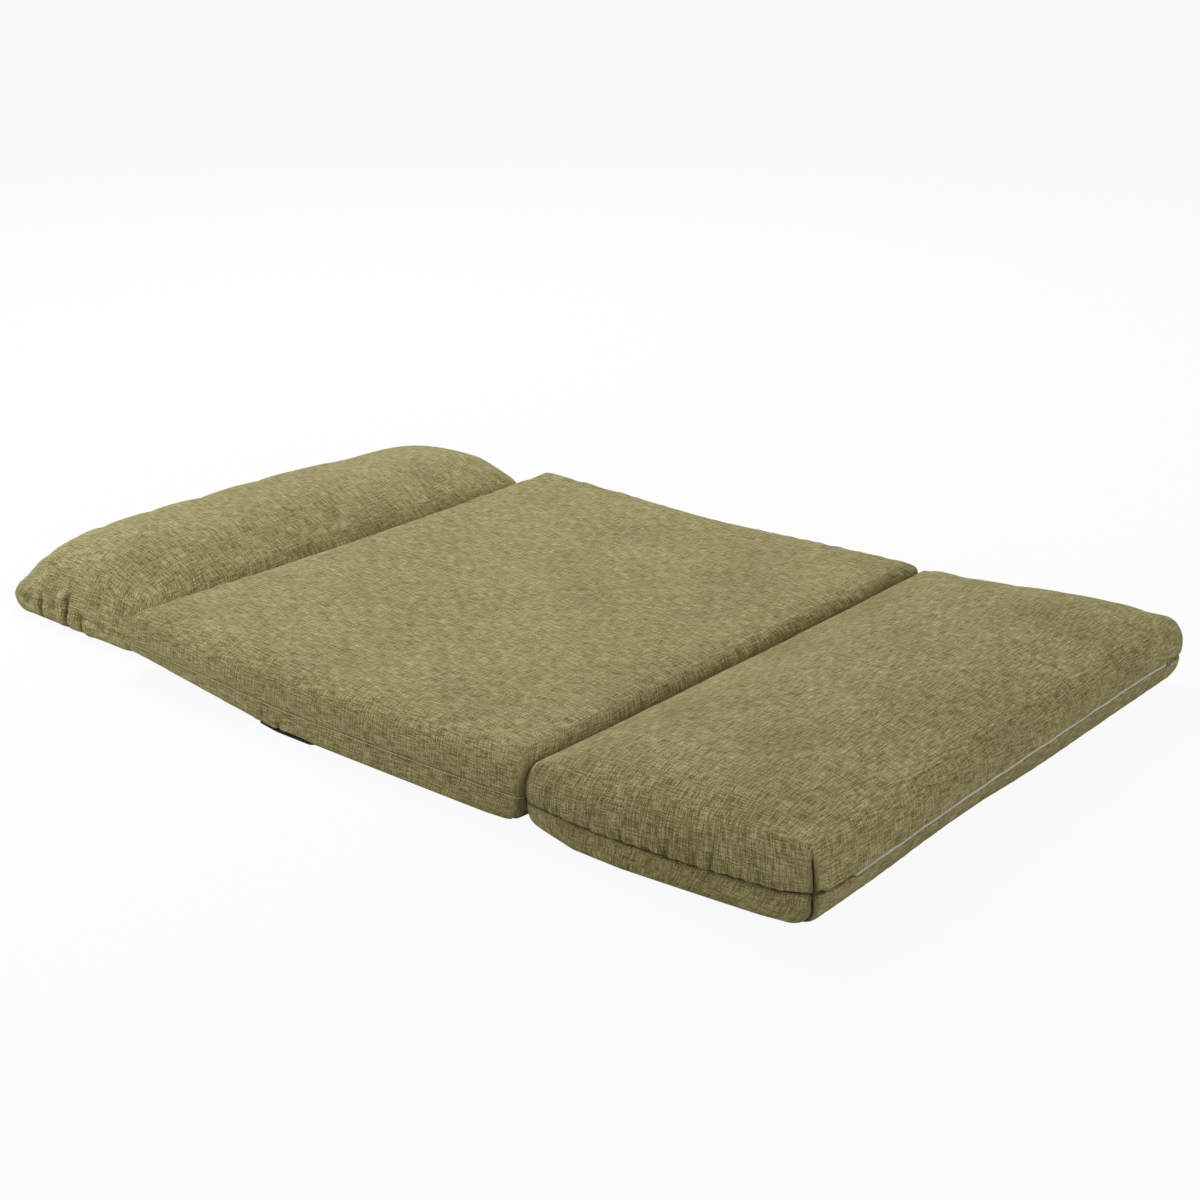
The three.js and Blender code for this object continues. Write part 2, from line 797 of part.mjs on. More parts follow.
Object.entries(ends).forEach(([place, end]) => {
  addPiece(`ratchet_plate_${place}`, ratchetPlate(end), zincSteel);
  addPiece(`hinge_plate_${place}`, hingePlate(end), zincSteel);
  addPiece(`pivot_rivet_${place}`, pivotRivet(end), zincSteel);
  addPiece(`pawl_${place}`, pawl(end), zincSteel);
  addPiece(`pawl_pin_${place}`, pawlPin(end), zincSteel);
  addPiece(`pawl_spring_${place}`, pawlSpring(end), zincSteel);
});

addPiece('head_cover', topCloth(pillow, pillowCentre, pillow.seamStep), oliveWeave);
addPiece('head_underside', dishCloth(pillow, pillowCentre), oliveWeave);
addPiece('head_filling', filling(pillow, pillowCentre), whiteFibre);
addPiece('head_fold_flap', foldFlap(pillow, slab, -1, -1), oliveWeave);

addPiece('foot_cover', footCover(), oliveWeave);
addPiece('foot_band', footBand(), oliveWeave);
addPiece('foot_base_panel', baseSheet(foot, footCentre), oliveWeave);
addPiece('foot_foam', footCore(), creamFoam);
addPiece('foot_fibre_layer', footTopLayer(), whiteFibre);
addPiece('foot_fold_flap', foldFlap(foot, slab, 1, -1), oliveWeave);

addPiece('zip_tape_upper', zipTape(1), creamZip);
addPiece('zip_tape_lower', zipTape(-1), creamZip);
addPiece('zip_coil', zipCoil(), creamZip);
addPiece('zip_stop_front', zipStop(-1), zincSteel);
addPiece('zip_stop_rear', zipStop(1), zincSteel);
addPiece('zip_slider', zipSlider(), zincSteel);
addPiece('zip_pull', zipPull(), zincSteel);

export default model;
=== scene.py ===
"""A floor sofa bed lying open as a bed: a head pillow, a slab of two panels and a foot cushion.

Metres, +Z up, +X from the head to the foot, +Y to the rear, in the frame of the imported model.
"""
import json
import math

import bmesh
import bpy
import numpy as np
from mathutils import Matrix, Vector, noise

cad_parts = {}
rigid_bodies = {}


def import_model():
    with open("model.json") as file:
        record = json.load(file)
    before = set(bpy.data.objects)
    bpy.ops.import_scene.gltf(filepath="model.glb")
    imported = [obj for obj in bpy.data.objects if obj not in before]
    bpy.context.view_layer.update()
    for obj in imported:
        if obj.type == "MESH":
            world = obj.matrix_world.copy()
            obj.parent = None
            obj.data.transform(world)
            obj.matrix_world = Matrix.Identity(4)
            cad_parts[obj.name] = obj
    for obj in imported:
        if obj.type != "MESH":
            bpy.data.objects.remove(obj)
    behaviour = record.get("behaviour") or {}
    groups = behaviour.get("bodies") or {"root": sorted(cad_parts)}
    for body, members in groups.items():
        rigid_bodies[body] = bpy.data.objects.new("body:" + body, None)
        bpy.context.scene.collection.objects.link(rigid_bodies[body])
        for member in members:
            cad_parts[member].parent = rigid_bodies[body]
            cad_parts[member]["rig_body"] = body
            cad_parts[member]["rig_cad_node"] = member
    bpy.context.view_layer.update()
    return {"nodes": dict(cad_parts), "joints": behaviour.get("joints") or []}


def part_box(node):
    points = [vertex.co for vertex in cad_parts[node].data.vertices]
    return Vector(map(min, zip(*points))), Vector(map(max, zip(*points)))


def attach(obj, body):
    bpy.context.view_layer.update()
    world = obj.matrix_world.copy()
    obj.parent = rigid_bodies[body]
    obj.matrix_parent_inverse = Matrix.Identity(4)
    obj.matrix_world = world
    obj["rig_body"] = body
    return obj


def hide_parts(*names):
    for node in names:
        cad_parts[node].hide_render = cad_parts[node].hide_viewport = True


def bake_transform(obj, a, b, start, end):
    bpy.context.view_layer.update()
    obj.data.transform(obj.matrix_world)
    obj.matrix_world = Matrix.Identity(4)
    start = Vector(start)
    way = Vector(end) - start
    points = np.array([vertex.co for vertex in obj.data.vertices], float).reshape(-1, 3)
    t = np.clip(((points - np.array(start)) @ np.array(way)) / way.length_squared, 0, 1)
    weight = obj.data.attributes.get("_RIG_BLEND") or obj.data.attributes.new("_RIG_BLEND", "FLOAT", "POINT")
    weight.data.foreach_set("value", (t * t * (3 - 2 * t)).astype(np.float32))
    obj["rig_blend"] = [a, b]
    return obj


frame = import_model()
nodes = frame["nodes"]
joints = {joint["name"]: joint for joint in frame["joints"]}

# Places taken from the frame.
SEAT_LOW, SEAT_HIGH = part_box("seat_cover")
BACK_LOW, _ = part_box("back_cover")
HEAD_LOW, HEAD_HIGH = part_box("head_cover")
_, FOOT_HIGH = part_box("foot_cover")
BAND_LOW, BAND_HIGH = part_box("foot_band")
COIL_LOW, COIL_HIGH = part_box("zip_coil")
CREASE_X = joints["back_fold"]["pos_m"][0]
PILLOW_FOLD_X = joints["pillow_fold"]["pos_m"][0]
FOOT_FOLD_X = joints["foot_fold"]["pos_m"][0]

# How often the ridges of a crown are evened out.
CROWN_SMOOTHING = 12

# The cloth's grid, how far a seam's neighbouring rows lie from it, and the ways of the close
# columns from a corner.
CELL = 0.009
SEAM_STEP = 0.004
CORNER_COLUMNS = np.array([0.0, 0.0025, 0.0055, 0.0095, 0.015])

# How finely a cushion's side is traced between two steps of its form.
TRACES = 24

# What a vertex of the top has in place of its way past the seam or from a corner.
FAR = 1.0

# The lowest place of any cloth, and the thickness of a sheet.
FLOOR_GAP = 0.0003
SHEET_THICKNESS = 0.0006


class Form:
    """The outer form of a cushion. Each of its steps up the side has its insets at the head end, the
    foot end and the sides, its height and its corner radius, and seam is the step of the seam. The
    crown rises over the last step, by a power of the place each way. The ends and the sides are
    drawn in at their middles and turned in at their corners."""

    sag = lean = twist = 0
    drawn = turned = (0, 0, 0)
    turned_cloth = False

    def __init__(self, low, high, steps, **values):
        vars(self).update(values)
        low, high = np.array(low), np.array(high)
        self.centre = (low + high) / 2
        self.half = (high - low) / 2
        self.steps = np.array(steps)
        self.cells = [round(2 * half / CELL) + len(CORNER_COLUMNS) for half in self.half]
        self.top = steps[-1][3] + self.crown


SLAB = Form(
    low=(BACK_LOW.x, BACK_LOW.y),
    high=(SEAT_HIGH.x, SEAT_HIGH.y),
    steps=[
        (0.055, 0.050, 0.030, 0.0015, 0.008),
        (0.030, 0.015, -0.002, 0.0005, 0.016),
        (0.012, 0.005, -0.006, 0.007, 0.018),
        (0.003, 0.001, -0.003, 0.020, 0.017),
        (0.004, 0.002, 0.001, 0.040, 0.014),
        (0, 0, 0, 0.060, 0.014),
        (0.002, 0.000, 0.002, 0.084, 0.012),
        (0.007, 0.003, 0.008, 0.099, 0.010),
        (0.021, 0.014, 0.025, 0.1085, 0.008),
    ],
    seam=4,
    crown=0.004,
    powers=(3, 9),
    sag=0.014,
    drawn=(0.008, 0.002, 0),
    turned=(-0.002, -0.003, 0.002),
    turned_cloth=True,
)
PILLOW = Form(
    low=(HEAD_LOW.x, HEAD_LOW.y),
    high=(HEAD_HIGH.x, HEAD_HIGH.y),
    steps=[
        (0.050, 0.050, 0.040, 0.0012, 0.040),
        (0.034, 0.030, 0.008, 0.0005, 0.050),
        (0.015, 0.012, 0.001, 0.008, 0.055),
        (0.004, 0.003, -0.001, 0.020, 0.058),
        (0, 0, 0, 0.036, 0.060),
        (0.008, 0.004, 0.007, 0.058, 0.062),
        (0.025, 0.013, 0.019, 0.080, 0.066),
        (0.047, 0.028, 0.036, 0.098, 0.070),
    ],
    seam=4,
    crown=0.052,
    powers=(2.6, 9),
    lean=0.008,
    twist=0.08,
    drawn=(0, 0.002, 0),
    turned=(0.020, 0, 0.002),
    turned_cloth=True,
)
FOOT = Form(
    low=(BAND_LOW.x, BAND_LOW.y),
    high=(FOOT_HIGH.x, BAND_HIGH.y),
    steps=[
        (0.050, 0.070, 0.030, 0.0015, 0.010),
        (0.024, 0.038, -0.002, 0.0005, 0.013),
        (0.012, 0.026, -0.005, 0.007, 0.014),
        (0.005, 0.014, -0.003, 0.020, 0.014),
        (0.001, 0.004, 0.000, 0.038, 0.013),
        (0, 0, 0.003, 0.058, 0.011),
        (0, 0, 0.001, 0.084, 0.009),
        (0.001, 0.006, 0.006, 0.108, 0.008),
        (0.008, 0.022, 0.021, 0.127, 0.008),
    ],
    seam=5,
    crown=0.037,
    powers=(3, 10),
    lean=0.034,
    drawn=(0.008, 0, 0),
    turned=(0, 0, 0.002),
)


def smooth_step(value, start, end):
    """0 before start, 1 after end, smooth between."""
    share = np.clip((value - start) / (end - start), 0, 1)
    return share * share * (3 - 2 * share)


def between(value, rise, fall):
    """1 between two places, 0 outside them, smooth over rise and over fall."""
    return smooth_step(value, *rise) * (1 - smooth_step(value, *fall))


def bump(value, centre, width):
    """A smooth hump of height 1."""
    return np.exp(-(((value - centre) / width) ** 2))


def wander(places, scale, seed):
    """Smooth noise from -1 to 1 at each place, its waves scale metres long."""
    moved = np.atleast_2d(places) / np.atleast_1d(scale)
    if moved.shape[1] == 2:
        moved = np.column_stack([moved, np.zeros(len(moved))])
    return np.array([noise.noise(Vector(place) + Vector((seed, 0, seed))) for place in moved])


def side_points(along_half, across_half, radius, cells):
    """One side of a rounded rectangle, from the middle of a corner to the middle of the next:
    places along and across it, and its normals."""
    arc = radius * math.pi / 4
    straight = 2 * (along_half - radius)
    whole = straight + 2 * arc
    close = CORNER_COLUMNS
    open_cells = cells + 1 - 2 * len(close)
    inner = np.linspace(close[-1] + CELL, whole - close[-1] - CELL, open_cells)
    reach = np.concatenate([close, inner, whole - close[:0:-1]])
    turn = np.clip((arc - reach) / arc, 0, 1) - np.clip((reach - arc - straight) / arc, 0, 1)
    angle = turn * math.pi / 4
    along = np.clip(reach - arc, 0, straight) - straight / 2 - radius * np.sin(angle)
    across = across_half - radius + radius * np.cos(angle)
    return along, across, -np.sin(angle), np.cos(angle)


def outline(form, head_inset, foot_inset, side_inset, radius):
    """The points round a cushion at those insets, anticlockwise from its front head corner, and
    their normals."""
    half_x = form.half[0] - (head_inset + foot_inset) / 2
    half_y = form.half[1] - side_inset
    points, normals = [], []
    for side, halves in enumerate([(half_x, half_y), (half_y, half_x)] * 2):
        along, across, turn, out = side_points(*halves, radius, form.cells[side % 2])
        angle = side * math.pi / 2
        forward = np.array([math.cos(angle), math.sin(angle)])
        outward = np.array([math.sin(angle), -math.cos(angle)])
        points.append(np.outer(along, forward) + np.outer(across, outward))
        normals.append(np.outer(turn, forward) + np.outer(out, outward))
    points, normals = np.concatenate(points), np.concatenate(normals)
    x, y = points.T
    corner_share, side_share = (y / half_y) ** 2, (x / half_x) ** 2
    ends = [form.drawn[k] * (1 - corner_share) + form.turned[k] * corner_share for k in (0, 1)]
    end_in = np.where(x > 0, ends[1], ends[0])
    side_in = form.drawn[2] * (1 - side_share) + form.turned[2] * side_share
    points = points * np.column_stack([1 - end_in / form.half[0], 1 - side_in / form.half[1]])
    points[:, 0] += (head_inset - foot_inset) / 2
    return points, normals


def profile(form):
    """The rows up the side of a cushion, each with its insets, its height, its corner radius and
    its way past the seam, on a smooth curve through the form's steps."""
    steps = form.steps
    knots = np.vstack([2 * steps[0] - steps[1], steps, 2 * steps[-1] - steps[-2]])
    share = np.linspace(0, 1, TRACES, endpoint=False)[:, None]
    spans = []
    for before, first, second, after in zip(knots, knots[1:], knots[2:], knots[3:]):
        bend = 2 * before - 5 * first + 4 * second - after
        twist = 3 * first - before - 3 * second + after
        rise = (second - before) * share + bend * share ** 2 + twist * share ** 3
        spans.append(first + 0.5 * rise)
    fine = np.vstack([*spans, steps[-1:]])
    step = np.hypot(np.diff(fine[:, :3].mean(1)), np.diff(fine[:, 3]))
    reach = np.concatenate([[0], np.cumsum(step)])
    reach -= reach[form.seam * TRACES]
    below = np.linspace(reach[0], -SEAM_STEP, max(2, round(-reach[0] / CELL)))
    above = np.linspace(SEAM_STEP, reach[-1], max(2, round(reach[-1] / CELL)))
    rows = np.concatenate([below, [0], above])
    return np.column_stack([np.interp(rows, reach, fine[:, k]) for k in range(5)] + [rows])


def boundary(form):
    """The grid places round the top of a cushion, in the order of its outline."""
    nx, ny = form.cells
    front = [(i, 0) for i in range(nx)]
    foot = [(nx, j) for j in range(ny)]
    back = [(nx - i, ny) for i in range(nx)]
    head = [(0, ny - j) for j in range(ny)]
    return front + foot + back + head


def patch(form, ring):
    """Fills the ring with a grid of points that run smoothly between its sides."""
    nx, ny = form.cells
    edge = np.zeros((nx + 1, ny + 1, ring.shape[1]))
    for (i, j), point in zip(boundary(form), ring):
        edge[i, j] = point
    a = np.linspace(0, 1, nx + 1)[:, None, None]
    b = np.linspace(0, 1, ny + 1)[None, :, None]
    across = (1 - b) * edge[:, :1] + b * edge[:, -1:]
    along = (1 - a) * edge[:1] + a * edge[-1:]
    return across + along - ((1 - a) * across[:1] + a * across[-1:])


def crown_height(form, points):
    """How far the crown stands over the shoulder, on the whole grid of its top."""
    head, foot, side, _, radius = form.steps[-1]
    middle = np.array([(head - foot) / 2, 0])
    half = form.half - np.array([(head + foot) / 2, side])
    inward = half - np.abs(points - middle)
    past = radius - inward
    round_way = radius - np.linalg.norm(np.maximum(past, 0), axis=-1) - np.minimum(past.max(-1), 0)
    share = np.clip(round_way, 0, 1) / np.maximum(inward.min(-1), 1e-6)
    way = np.clip(1 - inward * np.clip(share, 0, 1)[:, :, None] / half, 0, 1)
    fall = 1 - way ** np.array(form.powers)
    height = form.crown * fall[:, :, 0] * fall[:, :, 1]
    for _ in range(CROWN_SMOOTHING):
        around = height[:-2, 1:-1] + height[2:, 1:-1] + height[1:-1, :-2] + height[1:-1, 2:]
        height[1:-1, 1:-1] = around / 4
    return height


def leaning(form, points):
    """The share of its height that a cushion keeps at each place."""
    place = np.clip(points[:, :2] / form.half, -1, 1)
    sag = form.sag * (1 - np.sqrt(place[:, 0] ** 2 + 0.02))
    lean = form.lean * (1 - place[:, 0]) / 2
    return 1 - (sag + lean) / form.top + form.twist * place[:, 0] * place[:, 1]


def quads(index):
    """The faces between the neighbours in a grid of vertices."""
    corners = [index[:-1, :-1], index[1:, :-1], index[1:, 1:], index[:-1, 1:]]
    return np.column_stack([corner.ravel() for corner in corners])


def evened(points, faces, share, rounds):
    """Evens out a net where share is above 0."""
    edges = np.vstack([faces[:, [k, (k + 1) % 4]] for k in range(4)])
    here, there = edges.T
    count = np.bincount(edges.ravel(), minlength=len(points))[:, None]
    for _ in range(rounds):
        around = np.column_stack([
            np.bincount(here, column[there], len(column)) + np.bincount(there, column[here])
            for column in points.T])
        points = points + share[:, None] * (around / count - points)
    return points


class Net:
    """The cloth of a cushion before it is sewn: rows round its side and a grid over its top. Each
    vertex knows its place on the unrolled cloth and its ways past the seam and from a corner."""

    def __init__(self, form):
        self.form = form
        self.rows = profile(form)
        self.seam_row = int(np.argmin(np.abs(self.rows[:, 5])))
        self.columns = 2 * sum(form.cells)
        rings = [outline(form, *row[:3], row[4])[0] for row in self.rows]
        self.normals = normals = outline(form, 0, 0, 0, form.steps[form.seam][4])[1]
        reach = self.rows[-1][5]
        grid = patch(form, rings[-1])
        height = self.rows[-1][3] + crown_height(form, grid)
        sides = [np.column_stack([ring, np.full(self.columns, row[3])])
                 for ring, row in zip(rings, self.rows)]
        top = np.dstack([grid, height])[1:-1, 1:-1].reshape(-1, 3)
        self.points = np.vstack(sides + [top])
        self.points[:, 2] *= leaning(form, self.points)
        self.points[:, :2] += form.centre
        unrolled = [rings[-1] + normals * (reach - row[5]) for row in self.rows]
        self.weave = np.vstack(unrolled + [top[:, :2]]) + form.centre
        on_top = np.full(len(top), FAR)
        self.seam = np.concatenate([np.repeat(self.rows[:, 5], self.columns), on_top])
        edge = np.linalg.norm(np.roll(rings[0], -1, axis=0) - rings[0], axis=1)
        way = np.concatenate([[0], np.cumsum(edge)[:-1]])
        starts = np.cumsum([0] + [form.cells[k % 2] for k in range(4)])[:4]
        corner_ways = np.append(way[starts], edge.sum())
        round_way = np.abs(way[:, None] - corner_ways).min(axis=1)
        self.corner = np.concatenate([np.tile(round_way, len(self.rows)), on_top])

    def side_faces(self, first, last):
        count = self.columns
        low = (np.arange(first, last)[:, None] * count + np.arange(count)).ravel()
        near = (np.arange(first, last)[:, None] * count + np.roll(np.arange(count), -1)).ravel()
        return np.column_stack([low, near, near + count, low + count])

    def grid_faces(self, ring, inner):
        """The faces of a grid whose edge begins at vertex ring and whose inside begins at inner."""
        nx, ny = self.form.cells
        index = np.zeros((nx + 1, ny + 1), int)
        for k, (i, j) in enumerate(boundary(self.form)):
            index[i, j] = ring + k
        index[1:-1, 1:-1] = inner + np.arange((nx - 1) * (ny - 1)).reshape(nx - 1, ny - 1)
        return quads(index)

    def top_faces(self):
        last_row = (len(self.rows) - 1) * self.columns
        return self.grid_faces(last_row, last_row + self.columns)

    def piece(self, name, points, first=0, last=None, turned_in=None):
        """The cloth between two rows, with the top above the last row. At an open seam, the cloth
        turns in by the given allowance."""
        whole = last is None
        last = len(self.rows) - 1 if whole else last
        faces = self.side_faces(first, last)
        if whole:
            faces = np.vstack([faces, self.top_faces()])
        threads = self.weave[:, ::-1] if self.form.turned_cloth else self.weave
        labels = {
            "weave": self.weave, "seam": self.seam, "corner": self.corner, "threads": threads}
        if turned_in is not None:
            here = (first if whole else last) * self.columns + np.arange(self.columns)
            there = len(points) + np.arange(self.columns)
            band = np.column_stack([there, np.roll(there, -1), np.roll(here, -1), here])
            faces = np.vstack([faces, band if whole else band[:, ::-1]])
            points = np.vstack([points, points[here] + turned_in])
            labels = {label: np.concatenate([values, values[here]])
                      for label, values in labels.items()}
        used, renumbered = np.unique(faces, return_inverse=True)
        made = make_piece(name, points[used], renumbered.reshape(faces.shape).tolist(),
                          {label: values[used] for label, values in labels.items()})
        seam_start = int(np.searchsorted(used, self.seam_row * self.columns))
        if turned_in is not None:
            sharpen(made, range(seam_start, seam_start + self.columns))
        return made, seam_start


def lifted(points, lifts):
    """The lower edge of a cushion rises. Each lift has its height, its places along X where it is
    none and whole, those along Y, and the height on the cushion where it ends."""
    points = points.copy()
    for height, (x_none, x_whole), (y_none, y_whole), end in lifts:
        along = np.clip((points[:, 0] - x_none) / (x_whole - x_none), 0, 1)
        across = 1 - smooth_step(points[:, 1], y_whole, y_none)
        points[:, 2] += height * along * across * np.clip(1 - points[:, 2] / end, 0, 1)
    return points


# Where the lower edges of the slab and of the foot cushion rise from the floor.
SLAB_FRONT, FOOT_FRONT = SEAT_LOW.y, BAND_LOW.y
SLAB_LIFTS = [
    (0.041, (CREASE_X - 0.062, BACK_LOW.x + 0.04), (SLAB_FRONT + 0.085, SLAB_FRONT + 0.004), 0.055),
    (0.004, (SEAT_HIGH.x - 0.06, SEAT_HIGH.x), (SLAB_FRONT + 0.06, SLAB_FRONT + 0.004), 0.05),
]
FOOT_LIFTS = [
    (0.022, (BAND_LOW.x + 0.10, BAND_LOW.x), (FOOT_FRONT + 0.09, FOOT_FRONT + 0.004), 0.055),
    (0.018, (BAND_HIGH.x - 0.32, BAND_HIGH.x), (FOOT_FRONT + 0.09, FOOT_FRONT + 0.004), 0.055),
    (0.012, (BAND_HIGH.x - 0.08, BAND_HIGH.x), (FOOT_FRONT + 0.07, FOOT_FRONT + 0.004), 0.055),
]


# How far the seam of the foot cushion lies from its level: along its front, from its outer end
# inwards, and along that end, from its front to its rear.
FRONT_SEAM_WAYS = (0.0, 0.03, 0.06, 0.19, 0.35, 0.47)
FRONT_SEAM_SHIFTS = (0.010, 0.004, -0.003, -0.012, -0.014, -0.012)
END_SEAM_WAYS = (0.0, 0.04, 0.09, 0.16, 0.34, 0.43, 0.95, 1.03, 1.12)
END_SEAM_SHIFTS = (0.010, 0.002, 0.000, 0.000, 0.003, 0.004, 0.004, 0.001, 0.001)
SEAM_REACH = 0.034


def seam_shift(points):
    """The rise of the foot cushion's seam at each place."""
    in_front = points[:, 1] < BAND_LOW.y + 0.03
    behind = points[:, 1] > BAND_HIGH.y - 0.03
    at_head = points[:, 0] < BAND_LOW.x + 0.03
    front = np.interp(BAND_HIGH.x - points[:, 0], FRONT_SEAM_WAYS, FRONT_SEAM_SHIFTS)
    end = np.interp(points[:, 1] - BAND_LOW.y, END_SEAM_WAYS, END_SEAM_SHIFTS)
    rear = np.minimum(front, END_SEAM_SHIFTS[-1])
    shift = np.where(in_front, front, np.where(behind, rear, end))
    return np.where(at_head & ~in_front & ~behind, FRONT_SEAM_SHIFTS[-1], shift)


def shifted(points, level):
    """Moves the seam of the foot cushion and the cloth round it up or down."""
    points = points.copy()
    points[:, 2] += seam_shift(points) * bump(points[:, 2], level, SEAM_REACH)
    return points


def mark(mesh, label, values):
    """Gives each vertex its value or its place under that label."""
    kind, field = ("FLOAT", "value") if values.ndim == 1 else ("FLOAT_VECTOR", "vector")
    if values.ndim == 2:
        values = np.pad(values, ((0, 0), (0, 3 - values.shape[1])))
    data = mesh.attributes.new(label, kind, "POINT").data
    data.foreach_set(field, values.astype(np.float32).ravel())


def make_piece(name, points, faces, labels=None):
    mesh = bpy.data.meshes.new(name)
    mesh.from_pydata(points.tolist(), [], faces)
    for label, values in (labels or {}).items():
        mark(mesh, label, values)
    mesh.polygons.foreach_set("use_smooth", [True] * len(mesh.polygons))
    piece = bpy.data.objects.new(name, mesh)
    bpy.context.scene.collection.objects.link(piece)
    return piece


def sharpen(piece, members):
    """The edges between those vertices stay sharp when the mesh is made finer."""
    members = set(members)
    creases = piece.data.attributes.new("crease_edge", "FLOAT", "EDGE").data
    for edge, crease in zip(piece.data.edges, creases):
        crease.value = float(members.issuperset(edge.vertices))


def fetch(data, field, width=3):
    """One field of all the members of a mesh's data, a row for each."""
    found = np.zeros(len(data) * width, np.float32)
    data.foreach_get(field, found)
    return found.reshape(-1, width).astype(float)


def places(piece):
    return fetch(piece.data.vertices, "co")


def normals_of(piece):
    piece.data.update()
    return fetch(piece.data.vertices, "normal")


def move_to(piece, points):
    piece.data.vertices.foreach_set("co", points.astype(np.float32).ravel())
    piece.data.update()


def cloth_ways(piece):
    """Each vertex's place on the unrolled cloth, and its ways past the seam and from a corner."""
    labels = piece.data.attributes
    seam, corner = (fetch(labels[label].data, "value", 1)[:, 0] for label in ("seam", "corner"))
    return fetch(labels["weave"].data, "vector")[:, :2], seam, corner


def apply_modifiers(piece):
    """The mesh takes the form that its modifiers give it."""
    bpy.context.view_layer.update()
    shaped = piece.evaluated_get(bpy.context.evaluated_depsgraph_get())
    mesh = bpy.data.meshes.new_from_object(
        shaped, preserve_all_data_layers=True, depsgraph=bpy.context.evaluated_depsgraph_get())
    piece.modifiers.clear()
    piece.data = mesh


# The depth at which a fold takes its darkest painted shade.
FOLD_PAINTED_SHADE_DEPTH = 0.004

# The share of a dent that the foam under the cloth pushes back.
FOAM_HOLD = 0.95

# The simulation of the covers.
SIMULATED_FRAMES = 20
CLOTH_SETTINGS = {
    "quality": 6,
    "mass": 0.25,
    "tension_stiffness": 12,
    "compression_stiffness": 12,
    "shear_stiffness": 5,
    "bending_stiffness": 0.4,
    "use_pressure": True,
    "uniform_pressure_force": 2,
    "vertex_group_mass": "held",
}


def firmness(net, points, low, at_seam, side, at_side):
    """How firmly the simulation holds each point: wholly below low, and by those shares along the
    seam and up the side."""
    held = np.where(points[:, 2] < low, 1.0, 0.0)
    held = np.maximum(held, np.round(at_seam * bump(net.seam, 0, 0.003), 1))
    return np.maximum(held, np.round(at_side * (net.seam < side), 1))


def inflate(piece, held, cap, slack):
    """Fills the cloth by simulation. held is how firmly each vertex keeps its place, and no point
    moves further than cap."""
    before = places(piece)
    group = piece.vertex_groups.new(name="held")
    for weight in np.unique(np.round(held, 2)):
        if weight > 0:
            members = np.nonzero(np.round(held, 2) == weight)[0].tolist()
            group.add(members, float(weight), "REPLACE")
    cloth = piece.modifiers.new("Cloth", "CLOTH")
    for label, value in CLOTH_SETTINGS.items():
        setattr(cloth.settings, label, value)
    cloth.settings.effector_weights.gravity = 0
    cloth.settings.shrink_min = -slack
    cloth.collision_settings.use_collision = False
    cloth.collision_settings.use_self_collision = False
    scene = bpy.context.scene
    scene.frame_start, scene.frame_end = 1, SIMULATED_FRAMES
    for step in range(SIMULATED_FRAMES):
        scene.frame_set(step + 1)
    shaped = piece.evaluated_get(bpy.context.evaluated_depsgraph_get())
    moved = fetch(shaped.data.vertices, "co") - before
    piece.modifiers.clear()
    piece.vertex_groups.clear()
    scene.frame_set(1)
    outward = normals_of(piece)
    sunk = np.minimum((moved * outward).sum(1), 0)
    moved -= outward * sunk[:, None] * FOAM_HOLD
    length = np.linalg.norm(moved, axis=1)
    capped = cap * np.tanh(length / cap) / np.maximum(length, 1e-9)
    move_to(piece, before + moved * capped[:, None])


def subdivide(piece):
    modifier = piece.modifiers.new("Finer", "SUBSURF")
    modifier.levels = modifier.render_levels = 1
    apply_modifiers(piece)


def push(piece, amount, level=None):
    """Moves each vertex along its normal, or level where that says so."""
    outward = normals_of(piece)
    if level is not None:
        flat = outward * (1, 1, 0)
        flat /= np.maximum(np.linalg.norm(flat, axis=1), 0.3)[:, None]
        outward[level] = flat[level]
    moved = places(piece) + outward * amount[:, None]
    moved[:, 2] = np.maximum(moved[:, 2], FLOOR_GAP)
    move_to(piece, moved)


def press_with_painted_shade(piece, amount, level=None):
    """Presses folds into the cloth, and marks how deep they lie, for the painted shade that the cover's
    colour takes there.
    """
    push(piece, amount, level)
    mark(piece.data, "fold", np.clip(-amount / FOLD_PAINTED_SHADE_DEPTH, 0, 1))


# The materials.

